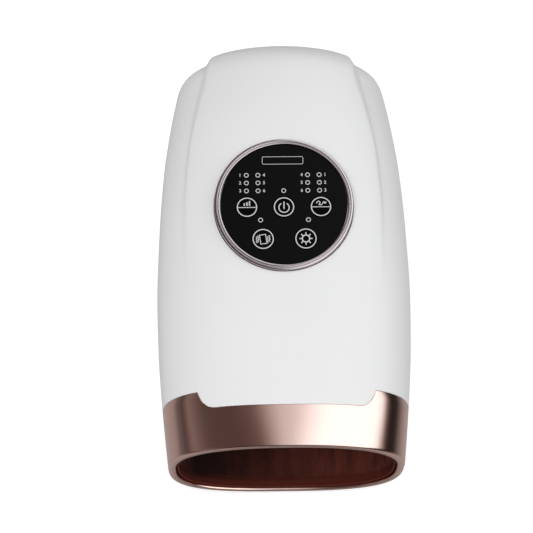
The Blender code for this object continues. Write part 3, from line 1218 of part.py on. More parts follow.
def make_shaker():
    """The vibration motor on the floor of the case, with the off-centre weight on its shaft."""
    axis = (SHAKER_Y, SHAKER_HEIGHT)
    top = SHAKER_BASE + SHAKER_BASE_THICK
    bracket = box("shaker_bracket", (-SHAKER_BASE_HALF_WIDTH, SHAKER_Y - SHAKER_BASE_HALF_DEPTH, SHAKER_BASE),
                  (SHAKER_BASE_HALF_WIDTH, SHAKER_Y + SHAKER_BASE_HALF_DEPTH, top), "grey_plastic")
    cheeks = bmesh.new()
    reach = SHAKER_RADIUS + SHAKER_CHEEK_THICK
    for x in (-SHAKER_CHEEK_X, SHAKER_CHEEK_X):
        add_box(cheeks, (x - SHAKER_CHEEK_THICK / 2, SHAKER_Y - reach, top - SHAKER_BASE_THICK / 2),
                (x + SHAKER_CHEEK_THICK / 2, SHAKER_Y + reach, SHAKER_HEIGHT))
    join(bracket, place("shaker_cheeks", mesh_of("shaker_cheeks", cheeks)))
    cut(bracket, cylinder("shaker_space", SHAKER_RADIUS + FIT_GAP, (-SHAKER_HALF_LENGTH, *axis),
                          (SHAKER_HALF_LENGTH, *axis)))
    cylinder("shaker_motor", SHAKER_RADIUS, (-SHAKER_HALF_LENGTH, *axis), (SHAKER_HALF_LENGTH, *axis),
             "steel")
    start = SHAKER_HALF_LENGTH + FIT_GAP
    end = start + WEIGHT_THICK
    weight = cylinder("shaker_weight", WEIGHT_RADIUS, (start, *axis), (end, *axis), "brass")
    set_origin(weight, (start, *axis))
    cut(weight, box("weight_half", (start - FIT_GAP, SHAKER_Y - 2 * WEIGHT_RADIUS, SHAKER_HEIGHT),
                    (end + FIT_GAP, SHAKER_Y + 2 * WEIGHT_RADIUS, SHAKER_HEIGHT + 2 * WEIGHT_RADIUS)))
    join(weight, cylinder("weight_hub", WEIGHT_HUB_RADIUS, (start, *axis), (end, *axis), steps=16))


def make_cable():
    """The flat cable from under the key board, back over the frame and down to the main board."""
    high = KEY_BOARD_LOW - FIT_GAP - CABLE_THICK / 2
    low = BOARD_TOP + FIT_GAP + CABLE_THICK / 2
    bend = CABLE_BEND
    path = [(CABLE_FRONT, high)]
    path += arc((CABLE_BACK - bend, high - bend), (bend, bend), 90, 0, 5)
    path += arc((CABLE_BACK + bend, low + bend), (bend, bend), 180, 270, 5)
    path.append((CABLE_BACK + CABLE_LANDING, low))
    path = np.array(path)
    run = np.gradient(path, axis=0)
    run /= np.linalg.norm(run, axis=1, keepdims=True)
    side = np.stack([-run[:, 1], run[:, 0]], axis=1) * CABLE_THICK / 2
    rings = []
    for point, offset in zip(path, side):
        above, below = point + offset, point - offset
        rings.append([(CABLE_X - CABLE_HALF_WIDTH, *above), (CABLE_X + CABLE_HALF_WIDTH, *above),
                      (CABLE_X + CABLE_HALF_WIDTH, *below), (CABLE_X - CABLE_HALF_WIDTH, *below)])
    points = np.array(rings)
    grid = (points, grid_faces(len(points), 4, ring=True))
    place("panel_cable", surface_mesh("panel_cable", [grid], True), "amber_film")


clear_scene()
PARTS = new_collection("hand_massager")
GUIDES = new_collection("cutters")
trims = make_guides()
make_top_shell(trims)
make_bottom_shell(trims)
make_cuff()
make_lining()
make_chamber()
make_panel()
make_fasteners()
make_battery(trims)
make_board(trims)
make_pump()
make_valves()
make_shaker()
make_cable()
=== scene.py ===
"""Looks of a hand massager with a moulded case, a metallised cuff, a round control panel and a fabric sleeve.

Every new surface is worked out on a grid of two numbers with numpy. Lengths are in metres. X runs across the
case, Y from the cuff to the nose and Z up from the table.
"""

import json
import math

import bmesh
import bpy
import numpy as np
from bpy.props import FloatProperty, FloatVectorProperty, IntProperty, PointerProperty
from mathutils import Matrix, Vector


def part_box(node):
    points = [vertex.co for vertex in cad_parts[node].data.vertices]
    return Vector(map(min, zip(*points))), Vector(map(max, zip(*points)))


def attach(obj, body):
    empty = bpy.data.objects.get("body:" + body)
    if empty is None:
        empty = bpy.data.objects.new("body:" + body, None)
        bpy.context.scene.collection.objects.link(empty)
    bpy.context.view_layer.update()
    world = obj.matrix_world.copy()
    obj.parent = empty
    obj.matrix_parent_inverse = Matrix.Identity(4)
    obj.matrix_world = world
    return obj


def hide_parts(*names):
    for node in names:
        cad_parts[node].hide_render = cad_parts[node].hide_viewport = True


bl_info = {
    "name": "Hand massager looks",
    "version": (1, 0, 0),
    "blender": (4, 5, 0),
    "location": "3D View > Sidebar > Massager",
    "description": "Builds the fine surfaces, finishes and stage of a hand massager over its CAD frame",
    "category": "Object",
}

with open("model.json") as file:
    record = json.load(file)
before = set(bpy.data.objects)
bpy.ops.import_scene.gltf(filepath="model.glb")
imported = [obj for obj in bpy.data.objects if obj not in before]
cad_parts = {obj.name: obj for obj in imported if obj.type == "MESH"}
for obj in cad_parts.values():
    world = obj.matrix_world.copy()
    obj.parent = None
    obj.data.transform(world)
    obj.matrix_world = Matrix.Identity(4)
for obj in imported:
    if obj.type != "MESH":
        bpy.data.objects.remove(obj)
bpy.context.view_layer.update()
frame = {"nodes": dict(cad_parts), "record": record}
NODES = frame["nodes"]

# Shares of the half width, heights and powers, at shares of the length from the cuff rim
WIDTH_SHARES = ((0, 0.916), (0.07, 0.940), (0.15, 0.964), (0.27, 0.990), (0.40, 1), (0.55, 0.984),
                (0.70, 0.949), (0.80, 0.904), (0.88, 0.856), (0.94, 0.810), (1, 0.760))
TOP_SHARES = ((0, 0.969), (0.15, 0.985), (0.35, 1), (0.55, 0.996), (0.70, 0.974), (0.80, 0.943),
              (0.90, 0.887), (1, 0.814))
PARTING_SHARES = ((0, 1), (0.30, 0.980), (0.60, 0.941), (0.85, 0.863), (1, 0.804))
LIFT_SHARES = ((0, 0), (0.80, 0), (0.92, 0.40), (1, 1))
POWER_SHARES = ((0, 2.35), (0.14, 2.80), (0.40, 3), (0.70, 2.90), (1, 2.70))
CREASE_SHARES = ((0, 0.750), (0.35, 0.760), (0.47, 0.772), (0.58, 0.785), (0.71, 0.774), (0.75, 0.764),
                 (0.80, 0.748), (0.90, 0.710), (1, 0.700))
CREASE_GROWTH = ((0, 1), (0.70, 1), (0.90, 2.1), (1, 2.1))
RISE_SHARES = ((0, 0), (0.33, 0), (0.50, 0.14), (0.70, 0.46), (0.86, 0.73), (0.95, 0.81), (1, 0.81))
DOME_POWER = 1.5
NOSE_POWER = 2.6
BELLY_POWER = 3.0
CHAMBER_POWER = 4.0
WELD = 0.000002
PAST = 0.001            # how far a cutting tool reaches past what it cuts
SCREWS, FEET = 6, 4
SMOOTH_ANGLE = math.radians(32)
BEVEL_ANGLE = math.radians(38)

# Rows and columns of the shells' and the cuff's grids
FRONT_ROWS, BACK_ROWS, NOSE_ROWS = 44, 24, 26
HOLE_COLUMNS, CORNER_COLUMNS, CREASE_COLUMNS, TOP_SIDES = 21, 12, 8, 18
BOTTOM_ROWS, BOTTOM_NOSE_ROWS, BOTTOM_COLUMNS = 64, 24, 97
CUFF_SIDES, CUFF_BELOW = 26, 119

# What the metal sees: shades of the room by the angle from straight up, right positive, and of the floor by
# the place across the case in metres. They are shares of the brightest, which is ROOM_LIGHT. The room fades
# to ROOM_FRONT of its shade as a direction's Y runs from the second to the first of ROOM_FADE.
ROOM_LIGHT = 2.1
ROOM_SHADES = ((-90, (0.060, 0.052, 0.055)), (-85, (0.040, 0.031, 0.033)), (-79, (0.070, 0.056, 0.052)),
               (-71, (0.122, 0.108, 0.104)), (-61, (0.088, 0.073, 0.073)), (-51, (0.058, 0.046, 0.044)),
               (-40, (0.048, 0.036, 0.034)), (-19, (0.048, 0.034, 0.033)), (-7, (0.072, 0.055, 0.050)),
               (-1, (0.270, 0.260, 0.260)), (3, (0.460, 0.520, 0.550)), (6, (0.570, 0.680, 0.730)),
               (10, (0.700, 0.830, 0.900)), (17, (0.940, 0.970, 1.0)), (56, (1.0, 1.0, 1.0)),
               (63, (0.660, 0.820, 0.880)), (69, (0.510, 0.650, 0.690)), (73, (0.285, 0.285, 0.285)),
               (77, (0.080, 0.060, 0.056)), (81, (0.022, 0.014, 0.012)), (86, (0.008, 0.005, 0.004)),
               (90, (0.008, 0.005, 0.004)))
FLOOR_SHADES = ((-0.60, 0.075), (-0.40, 0.110), (-0.28, 0.164), (-0.17, 0.190), (-0.118, 0.200),
                (-0.072, 0.200), (-0.055, 0.12), (0.055, 0.12), (0.072, 0.190), (0.100, 0.205),
                (0.137, 0.185), (0.20, 0.110), (0.30, 0.042), (0.40, 0.020), (0.60, 0.010))
ROOM_FILL = 0.50
ROOM_FRONT = 0.08
ROOM_FADE = (-0.97, -0.80)
FLOOR_GLOW = 0.46
WHITE = (1, 1, 1)
LAMPS = {"lamp_over": ((-0.22, -0.30, 1.25), 1.1, 8.3), "lamp_right": ((0.95, -0.10, 0.75), 0.8, 1.9)}
LAMP_AIM = (0, 0, 0.05)
CAMERA_AIM = (0, -0.00055, 0.050)
LENS_MM = 159.41
SENSOR_MM = 36
LENS_SHIFT = (-0.03064, -0.01024)

# Cloth: the scale of its wave texture, which puts the threads 0.2 mm apart, and the spans in metres where
# painted shade darkens it to the left, where it turns lighter at its far left end, and where a painted
# highlight lights the front hem
THREADS = 75.0
PAINTED_SHADE_SPAN = (-0.048, 0.048)
FAR_LEFT_END_SPAN = (-0.0575, -0.0515)
PAINTED_HEM_LIGHT_SPAN = (-0.1215, -0.1165)

KEY_SHARES = {
    "power_key": ("key_power", 0, -0.0465),
    "intensity_key": ("key_intensity", -0.530, -0.0465),
    "mode_key": ("key_mode", 0.530, -0.0465),
    "vibration_key": ("key_vibration", -0.305, -0.530),
    "heat_key": ("key_heat", 0.305, -0.530),
}


def length(name, default, description, smallest=0.0):
    """A size that a user may change, in metres."""
    return FloatProperty(name=name, description=description, default=default, min=smallest, precision=5,
                         subtype="DISTANCE", unit="LENGTH")


def colour(name, default, description):
    """A colour that a user may change."""
    return FloatVectorProperty(name=name, description=description, default=default, min=0, max=1, size=3,
                               subtype="COLOR")


class CaseSizes(bpy.types.PropertyGroup):
    """Sizes of the moulded case."""
    body_length: length("Length", 0.2490, "From the cuff's rim to the nose")
    half_width: length("Half width", 0.0716, "From the middle to the widest point of the case")
    crown_height: length("Crown height", 0.0980, "From the table to the highest skin")
    parting_height: length("Parting height", 0.0510, "From the table to the parting at the cuff")
    skin_base: length("Underside", 0.0030, "From the table to the case's underside")
    tip_lift: length("Nose lift", 0.0050, "How far the underside rises at the nose")
    shell_wall: length("Wall", 0.0026, "Thickness of the shells")
    fit_gap: length("Gap", 0.0003, "Gap between neighbouring pieces")
    nose_depth: length("Nose depth", 0.0240, "How far the nose reaches past the last full section")
    nose_setback: length("Nose setback", 0.0017, "From the nose's tip to the case's length")
    rim_lean: length("Rim lean", 0.0037, "How far the cuff's crown leans back")
    crown_rise: length("Crown rise", 0.0048, "Height of the raised band on the crown")
    crown_dome: FloatProperty(name="Crown dome", default=0.50, min=0,
                              description="How much more the raised band rises on its middle")
    crease_width: length("Crease width", 0.0036, "Width of the soft crease beside the raised band")
    crown_fade_start: length("Fade start", 0.0030, "Height over the parting where the raised band starts")
    crown_fade: length("Fade", 0.0260, "Height in which the raised band grows to its full rise")


class CuffSizes(bpy.types.PropertyGroup):
    """Sizes of the cuff band, its rim and the tongue let into it."""
    cuff_length: length("Cuff length", 0.0316, "From the rim to the case, at the parting")
    border_lean: FloatProperty(name="Border lean", default=0.044,
                               description="How far the band's border leans back at the crown")
    cuff_wall: length("Band wall", 0.0024, "Thickness of the band behind its rim")
    rim_wall: length("Rim wall", 0.0044, "Thickness of the rim")
    rim_depth: length("Rim depth", 0.0060, "How far the thick rim reaches in")
    rim_round: length("Outer round", 0.0018, "Radius of the rim's outer edge")
    rim_inner_round: length("Inner round", 0.0010, "Radius of the rim's inner edge")
    rim_step: length("Step", 0.0010, "Length of the slope behind the rim")
    tongue_reach: length("Tongue reach", 0.0101, "How far the tongue reaches over the band, on the middle")
    tongue_corner_reach: length("Corner reach", 0.0100, "How far the tongue's corners reach")
    tongue_front_half: length("Front half width", 0.0392, "Half the width of the tongue's front")
    tongue_bend_half: length("Bend half width", 0.0455, "Where the lines of the tongue's side and front meet")
    tongue_side_half: length("Side half width", 0.0486, "Half the width of the tongue at its root")
    seam_gap: length("Seam gap", 0.00016, "Gap that shows between the band and the shells")


class PanelSizes(bpy.types.PropertyGroup):
    """Sizes of the round control panel."""
    panel_y: length("Place", 0.0158, "The panel's centre along the case")
    panel_top: length("Top", 0.1004, "Height of the ring's top")
    ring_radius: length("Ring radius", 0.0387, "Outer radius of the chromed ring")
    ring_band: length("Ring band", 0.0031, "Width of the ring's top")
    ring_round: length("Ring round", 0.0009, "Radius of the ring's outer edge")
    ring_groove: length("Ring groove", 0.0005, "Half width of the groove round the ring")
    hole_radius: length("Hole radius", 0.0390, "Radius of the hole in the shell")
    lens_drop: length("Lens drop", 0.0006, "How far the lens lies under the ring's top")
    lens_thick: length("Lens thickness", 0.0018, "Thickness of the lens")
    key_radius: length("Key radius", 0.0061, "Radius of a key's cap")
    key_proud: length("Key proud", 0.0002, "How far a key stands over the lens")
    key_round: length("Key round", 0.0002, "Radius of a key's edge")


class ScrewSizes(bpy.types.PropertyGroup):
    """Sizes of the case screws, their posts and the feet."""
    post_radius: length("Post radius", 0.0048, "Radius of the posts that the screws go through")
    post_split: length("Post split", 0.0300, "Height where the lower posts meet the upper ones")
    seat: length("Seat", 0.0200, "Height of the screw heads' seat")
    head_radius: length("Head radius", 0.0030, "Radius of a screw's head")
    shank_radius: length("Shank radius", 0.0015, "Radius over a screw's thread")
    grip: length("Grip", 0.0110, "How far a screw reaches into the upper post")
    pitch: length("Pitch", 0.0009, "Height of one turn of the thread")
    thread_depth: length("Thread depth", 0.00032, "Depth of the thread")
    foot_radius: length("Foot radius", 0.0080, "Radius of a foot pad")


class SleeveSizes(bpy.types.PropertyGroup):
    """Sizes of the fabric sleeve."""
    front: length("Front", 0.0014, "From the rim to the sleeve's mouth")
    hem_round: length("Hem round", 0.0014, "Radius of the hem that rolls in behind the lip")
    funnel_front: length("Funnel front", 0.0076, "From the rim to where the funnel starts")
    funnel: length("Funnel", 0.0320, "Length of the funnel behind the mouth")
    wall: length("Cloth", 0.0012, "Thickness of the lined cloth")
    half_width: length("Half width", 0.0480, "Half the width of the flat chamber")
    half_height: length("Half height", 0.0177, "Half the height of the flat chamber")
    middle: length("Middle", 0.0500, "Height of the chamber's middle")
    tip: length("Tip", 0.0690, "Where the closed end lies along the case")
    tip_round: length("Tip round", 0.0160, "Length of the rounded end")
    fold_depth: length("Fold depth", 0.0009, "Depth of the broad folds at the mouth")
    fold_count: IntProperty(name="Folds", description="Broad folds round each half", default=8, min=1)


class Finishes(bpy.types.PropertyGroup):
    """Colours of the finishes that show."""
    white: colour("White shell", (0.80, 0.80, 0.80), "Satin white of the moulded shells")
    rose: colour("Rose metal", (0.80, 0.53, 0.46), "Metallised cuff band")
    chrome: colour("Pink chrome", (0.47, 0.40, 0.405), "Chromed ring round the panel")
    gloss: colour("Black gloss", (0.0038, 0.0034, 0.0038), "Panel lens")
    key: colour("Black key", (0.0016, 0.0016, 0.0016), "Key caps")
    fabric: colour("Burgundy fabric", (0.127, 0.0271, 0.0178), "Sleeve")
    # the seams' piping is coloured near black, which paints the shadow along the seams
    seam: colour("Seam", (0.010, 0.0035, 0.003), "Piping of the sleeve's end seams")
    print: colour("Print", (0.58, 0.56, 0.57), "Marks printed on the panel")


class StageSettings(bpy.types.PropertyGroup):
    """Camera, floor and lamps."""
    elevation: FloatProperty(name="Elevation", description="Camera's height over the table, as an angle",
                             default=math.radians(71.0), subtype="ANGLE", unit="ROTATION")
    azimuth: FloatProperty(name="Azimuth", description="Camera's turn round the object",
                           default=math.radians(-4.0), subtype="ANGLE", unit="ROTATION")
    roll: FloatProperty(name="Roll", description="Camera's turn about its own line of sight",
                        default=math.radians(-3.2), subtype="ANGLE", unit="ROTATION")
    distance: length("Distance", 1.350, "Camera to the middle of the object")
    floor_size: length("Floor", 6.0, "Side of the floor")


def case():
    """The case's sizes."""
    return bpy.context.scene.massager_case


def cuff():
    """The cuff's sizes."""
    return bpy.context.scene.massager_cuff


def panel():
    """The panel's sizes."""
    return bpy.context.scene.massager_panel


def screws():
    """The sizes of the screws and feet."""
    return bpy.context.scene.massager_screws


def sleeve():
    """The sleeve's sizes."""
    return bpy.context.scene.massager_sleeve


def finishes():
    """The colours."""
    return bpy.context.scene.massager_finishes


def rim_y():
    """Where the cuff's rim lies along the case."""
    return -case().body_length / 2


def nose_start():
    """Where the last full section lies along the case."""
    return case().body_length / 2 - case().nose_setback - case().nose_depth


def cuff_back():
    """Where the cuff band ends along the case."""
    return rim_y() + cuff().cuff_length


# ---------------------------------------------------------------- curves and the skin of the case

def smooth(share):
    """Ease from 0 to 1: 3s^2 - 2s^3."""
    share = np.clip(share, 0, 1)
    return share * share * (3 - 2 * share)


def follow(share, keys):
    """A cubic through keys of place and value. The slope at a key is the weighted harmonic mean of the
    rates on its two sides, or 0 where they differ in sign, so the curve never overshoots."""
    places, values = np.array(keys, dtype=float).T
    steps = np.diff(places)
    rates = np.diff(values) / steps
    slopes = np.zeros(len(places))
    slopes[0], slopes[-1] = rates[0], rates[-1]
    before, after = rates[:-1], rates[1:]
    near = 2 * steps[1:] + steps[:-1]
    far = steps[1:] + 2 * steps[:-1]
    same = before * after > 0
    before = np.where(same, before, 1)
    after = np.where(same, after, 1)
    slopes[1:-1] = np.where(same, (near + far) / (near / before + far / after), 0)
    share = np.clip(share, places[0], places[-1])
    i = np.clip(np.searchsorted(places, share) - 1, 0, len(steps) - 1)
    t = (share - places[i]) / steps[i]
    return (values[i] * (1 + 2 * t) * (1 - t) ** 2 + slopes[i] * steps[i] * t * (1 - t) ** 2
            + values[i + 1] * t * t * (3 - 2 * t) + slopes[i + 1] * steps[i] * t * t * (t - 1))


def along_share(y):
    """Distance from the rim over the length."""
    return (np.asarray(y, dtype=float) - rim_y()) / case().body_length


def half_width(y):
    """Half width at the parting."""
    return case().half_width * follow(along_share(y), WIDTH_SHARES)


def parting_height(y):
    """Height of the parting."""
    return case().parting_height * follow(along_share(y), PARTING_SHARES)


def top_height(y):
    """Height of the skin on the middle line, without the raised band."""
    return case().crown_height * follow(along_share(y), TOP_SHARES)


def base_height(y):
    """Height of the underside on the middle line."""
    return case().skin_base + case().tip_lift * follow(along_share(y), LIFT_SHARES)


def lean(y):
    """How far a section leans back for each metre of height."""
    return case().rim_lean / case().crown_height * (1 - smooth(along_share(y) / 0.40))


def signed_power(value, power):
    """sign(v) |v|^p."""
    return np.sign(value) * np.abs(value) ** power


def skin(side, station, turn, fan, gap):
    """Points of the upper (side 1) or lower (side -1) skin of the case.

    A section is a superellipse of power n: x = w cos(turn)^(2/n), height = h sin(turn)^(2/n) over the
    parting. Past the last full section the height falls with cos(fan)^(2/m) while the section moves on by
    depth sin(fan)^(2/m), which closes the nose. The whole leans back in proportion to its height. The skin
    keeps a gap from the parting.
    """
    share = along_share(station)
    power = follow(share, POWER_SHARES) if side > 0 else BELLY_POWER
    across = signed_power(np.cos(turn), 2 / power)
    fullness = np.abs(np.sin(turn)) ** (2 / power)
    fullness = np.where(np.abs(np.sin(turn)) < 1e-9, 0, fullness)
    drop = np.where(fan > math.pi / 2 - 1e-9, 0, np.abs(np.cos(fan)) ** (2 / NOSE_POWER))
    y = station + case().nose_depth * np.sin(fan) ** (2 / NOSE_POWER) * fullness
    middle = parting_height(y)
    tall = top_height(y) - middle if side > 0 else middle - base_height(y)
    x = half_width(y) * across
    z = middle + side * (gap + (tall - gap) * drop * fullness)
    return np.stack(np.broadcast_arrays(x, y + lean(y) * (z - case().skin_base), z), axis=-1)


def skin_height(side, x, y):
    """Height of the upper or lower skin at a place: parting + side tall (1 - (|x| / w)^n)^(1/n)."""
    power = follow(along_share(y), POWER_SHARES) if side > 0 else BELLY_POWER
    share = np.clip(np.abs(x) / half_width(y), 0, 1)
    middle = parting_height(y)
    tall = top_height(y) - middle if side > 0 else middle - base_height(y)
    return middle + side * tall * (1 - share ** power) ** (1 / power)


def crease_turns(station):
    """Turns of the outer and inner edge of the crease: where |x| / w is the crease's share plus and minus
    half its width."""
    share = along_share(station)
    power = follow(share, POWER_SHARES)
    middle = follow(share, CREASE_SHARES)
    half = case().crease_width / case().half_width / 2 * follow(share, CREASE_GROWTH)
    outer = np.arccos(np.clip((middle + half) ** (power / 2), 0, 1))
    inner = np.arccos(np.clip((middle - half) ** (power / 2), 0, 1))
    return outer, inner


def grid_normals(points):
    """Unit normals of a grid of points, from the cross product of its two differences, turned outwards."""
    normal = np.cross(np.gradient(points, axis=1), np.gradient(points, axis=0))
    size = np.linalg.norm(normal, axis=-1, keepdims=True)
    normal = np.divide(normal, size, out=np.zeros_like(normal), where=size > 1e-14)
    middle = np.array([0, 0, case().parting_height])
    return normal * np.sign(np.sum(normal * (points - middle), axis=-1, keepdims=True))


def raise_crown(points, station, turn):
    """Lift the band between the creases along the normal. The lift grows with smooth() across the crease,
    with the rise along the case, with smooth() of the height over the parting, and by 1 + dome (1 - s^1.5)
    towards the middle, where s is the distance from it as a share of the crease's."""
    outer, inner = crease_turns(station)
    fold = np.minimum(turn, math.pi - turn)
    height = points[..., 2] - parting_height(points[..., 1]) - case().crown_fade_start
    power = follow(along_share(station), POWER_SHARES)
    across = np.abs(np.cos(turn) / np.cos(inner)) ** (2 / power)
    lift = case().crown_rise * follow(along_share(points[..., 1]), RISE_SHARES)
    lift = lift * (1 + case().crown_dome * np.maximum(1 - across ** DOME_POWER, 0))
    lift = lift * smooth((fold - outer) / (inner - outer)) * smooth(height / case().crown_fade)
    return points + grid_normals(points) * lift[..., None]


def turn_at(x, station, inset=0.0):
    """The turn of the upper section where it is x from the middle: arccos((x / w)^(n/2))."""
    power = follow(along_share(station), POWER_SHARES)
    share = np.clip(np.abs(x) / (half_width(station) - inset), 0, 1)
    turn = np.arccos(share ** (power / 2))
    return np.where(np.asarray(x) < 0, math.pi - turn, turn)


def tongue_edge(x, gap=0.0):
    """The front edge of the upper shell in plan. Its corners are quadratic curves and its front bows by a
    parabola. A gap grows it all round. On a corner |x| = side (1-t)^2 + 2 bend t (1-t) + end t^2 is solved
    for t, and the reach is its full value times 1 - (1-t)^2."""
    sizes = cuff()
    side, bend, end = sizes.tongue_side_half + gap, sizes.tongue_bend_half + gap, sizes.tongue_front_half
    square, line = side - 2 * bend + end, 2 * (bend - side)
    rest = np.maximum(side - np.abs(x), 0)
    t = np.clip((-line - np.sqrt(line * line - 4 * square * rest)) / (2 * square), 0, 1)
    front = np.clip(np.abs(x) / sizes.tongue_front_half, 0, 1)
    reach = (sizes.tongue_corner_reach + gap) * (1 - (1 - t) ** 2)
    reach = reach + (sizes.tongue_reach - sizes.tongue_corner_reach) * (1 - front ** 2)
    return cuff_back() - np.maximum(reach, gap)


def border_lean(turn):
    """How far the border between the case and the band leans back at a turn: in proportion to the height over
    the parting."""
    back = cuff_back()
    power = follow(along_share(back), POWER_SHARES)
    tall = top_height(back) - parting_height(back)
    return cuff().border_lean * tall * np.maximum(np.sin(turn), 0) ** (2 / power)


# ---------------------------------------------------------------- meshes and pieces

def grid_mesh(name, points, ring=False, tube=False, keep=None, outwards=None):
    """A mesh of four-sided faces over a grid of points. A ring joins the ends of each row, and a tube joins
    the last row to the first. keep marks the faces that stay. Doubles are merged and the faces turned
    outwards."""
    rows, columns = points.shape[:2]
    index = np.arange(rows * columns).reshape(rows, columns)
    if ring:
        index = np.concatenate([index, index[:, :1]], axis=1)
    if tube:
        index = np.concatenate([index, index[:1]], axis=0)
    faces = np.stack([index[:-1, :-1], index[:-1, 1:], index[1:, 1:], index[1:, :-1]], axis=-1)
    faces = faces[keep] if keep is not None else faces.reshape(-1, 4)
    return raw_mesh(name, points.reshape(-1, 3), faces, outwards)


def raw_mesh(name, points, faces, outwards):
    """A mesh from points and four-sided faces, welded. outwards is a point inside it for an open surface, and
    None where the surface closes."""
    mesh = bpy.data.meshes.new(name)
    mesh.vertices.add(len(points))
    mesh.vertices.foreach_set("co", np.asarray(points, dtype=np.float32).reshape(-1))
    mesh.loops.add(faces.size)
    mesh.loops.foreach_set("vertex_index", faces.reshape(-1).astype(np.int32))
    mesh.polygons.add(len(faces))
    mesh.polygons.foreach_set("loop_start", np.arange(0, faces.size, faces.shape[1], dtype=np.int32))
    mesh.update(calc_edges=True)
    shape = bmesh.new()
    shape.from_mesh(mesh)
    bmesh.ops.remove_doubles(shape, verts=shape.verts, dist=WELD)
    bmesh.ops.dissolve_degenerate(shape, edges=shape.edges, dist=WELD / 2)
    loose = [vert for vert in shape.verts if not vert.link_faces]
    bmesh.ops.delete(shape, geom=loose, context="VERTS")
    if outwards is None:
        bmesh.ops.recalc_face_normals(shape, faces=shape.faces)
    else:
        shape.normal_update()
        facing = sum(face.normal.dot(face.calc_center_median() - Vector(outwards)) * face.calc_area()
                     for face in shape.faces)
        if facing < 0:
            bmesh.ops.reverse_faces(shape, faces=shape.faces)
    shape.to_mesh(mesh)
    shape.free()
    return mesh


def shade_smooth(mesh):
    """Shade a mesh smooth, but for its sharp edges."""
    mesh.shade_smooth()
    mesh.set_sharp_from_angle(angle=SMOOTH_ANGLE)


def piece(name, mesh, body, slot, replaced=(), look=None):
    """Put a mesh in the scene as a piece that rides on a body, with the finish of its slot or another look,
    and the nodes it stands for."""
    made = bpy.data.objects.new(name, mesh)
    bpy.context.scene.collection.objects.link(made)
    mesh.materials.clear()
    mesh.materials.append(finish(look or slot))
    shade_smooth(mesh)
    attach(made, body)
    if replaced:
        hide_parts(*replaced)
    return made


def add_wall(made, thickness):
    """Give an open surface its wall, inwards."""
    wall = made.modifiers.new("wall", "SOLIDIFY")
    wall.thickness = thickness
    wall.offset = -1
    wall.use_even_offset = False


def round_edges(made, width):
    """Round the sharp edges."""
    change = made.modifiers.new("round_edges", "BEVEL")
    change.width = width
    change.segments = 2
    change.limit_method = "ANGLE"
    change.angle_limit = BEVEL_ANGLE
    change.use_clamp_overlap = True


def bake(made):
    """Turn a piece's modifiers into its mesh."""
    bpy.context.view_layer.update()
    evaluated = made.evaluated_get(bpy.context.evaluated_depsgraph_get())
    mesh = bpy.data.meshes.new_from_object(evaluated)
    mesh.name = made.name
    old = made.data
    made.modifiers.clear()
    made.data = mesh
    bpy.data.meshes.remove(old)
    shade_smooth(mesh)


def cut(made, *tools, operation="DIFFERENCE"):
    """Take tools away from a piece, or join them to it, exactly, and remove the tools."""
    for cutter in tools:
        change = made.modifiers.new("cut", "BOOLEAN")
        change.operation = operation
        change.solver = "EXACT"
        change.object = cutter
    bake(made)
    for cutter in tools:
        bpy.data.objects.remove(cutter, do_unlink=True)


def tool(name, *meshes):
    """One object of several meshes, for cut()."""
    shape = bmesh.new()
    for mesh in meshes:
        shape.from_mesh(mesh)
        bpy.data.meshes.remove(mesh)
    mesh = bpy.data.meshes.new(name)
    shape.to_mesh(mesh)
    shape.free()
    made = bpy.data.objects.new(name, mesh)
    bpy.context.scene.collection.objects.link(made)
    return made


def turned_mesh(name, profile, centre, steps):
    """A profile of radius and height turned round an upright axis: (x, y) = centre + r (cos a, sin a)."""
    radius, height = np.array(profile, dtype=float).T
    angles = np.linspace(0, 2 * math.pi, steps, endpoint=False)[None, :]
    x = centre[0] + radius[:, None] * np.cos(angles)
    y = centre[1] + radius[:, None] * np.sin(angles)
    z = np.broadcast_to(height[:, None], x.shape)
    return grid_mesh(name, np.stack([x, y, z], axis=-1), ring=True)


def arc(centre, radius, first, last, steps):
    """Points of an arc between two angles in degrees: centre + r (cos a, sin a)."""
    angles = np.radians(np.linspace(first, last, steps + 1))
    return [(centre[0] + radius * c, centre[1] + radius * s) for c, s in zip(np.cos(angles), np.sin(angles))]


def tube_mesh(name, path, radius, steps):
    """A round tube with closed ends along a path. Each ring lies across the path and starts on its level
    side, square to a nearly upright direction that no path here follows."""
    path = np.asarray(path, dtype=float)
    ahead = np.gradient(path, axis=0)
    ahead = ahead / np.linalg.norm(ahead, axis=1, keepdims=True)
    side = np.cross(ahead, [0.03, 0.05, 1.0])
    side = side / np.linalg.norm(side, axis=1, keepdims=True)
    over = np.cross(side, ahead)
    angles = np.linspace(0, 2 * math.pi, steps, endpoint=False)[None, :, None]
    ring = side[:, None] * np.cos(angles) + over[:, None] * np.sin(angles)
    first, last = [np.repeat(end[None], steps, axis=1) for end in (path[:1], path[-1:])]
    return grid_mesh(name, np.concatenate([first, path[:, None] + ring * radius, last]), ring=True)


# ---------------------------------------------------------------- finishes

def feed(node, values):
    """Give a node's inputs, by name or number, their values. Each is a socket, a number, a colour or a
    vector."""
    for key, given in values.items():
        socket = node.inputs[key]
        if isinstance(given, bpy.types.NodeSocket):
            node.id_data.links.new(given, socket)
        else:
            socket.default_value = (*given, 1) if socket.type == "RGBA" else given
    return node


def add_node(tree, kind, output, values, **settings):
    """Add a shader node with its settings and inputs, and return the output asked for."""
    made = tree.nodes.new("ShaderNode" + kind)
    for name, setting in settings.items():
        setattr(made, name, setting)
    return feed(made, values).outputs[output]


def new_finish(name):
    """An empty finish with its shader."""
    found = bpy.data.materials.new(name)
    found.use_nodes = True
    return found, found.node_tree, found.node_tree.nodes["Principled BSDF"]


def object_place(tree, scale=(1, 1, 1)):
    """Object coordinates in metres, scaled."""
    place = add_node(tree, "TexCoord", "Object", {})
    return add_node(tree, "Mapping", "Vector", {"Vector": place, "Scale": scale})


def along_axis(tree, place, axis):
    """One part of a vector."""
    return add_node(tree, "SeparateXYZ", axis, {"Vector": place})


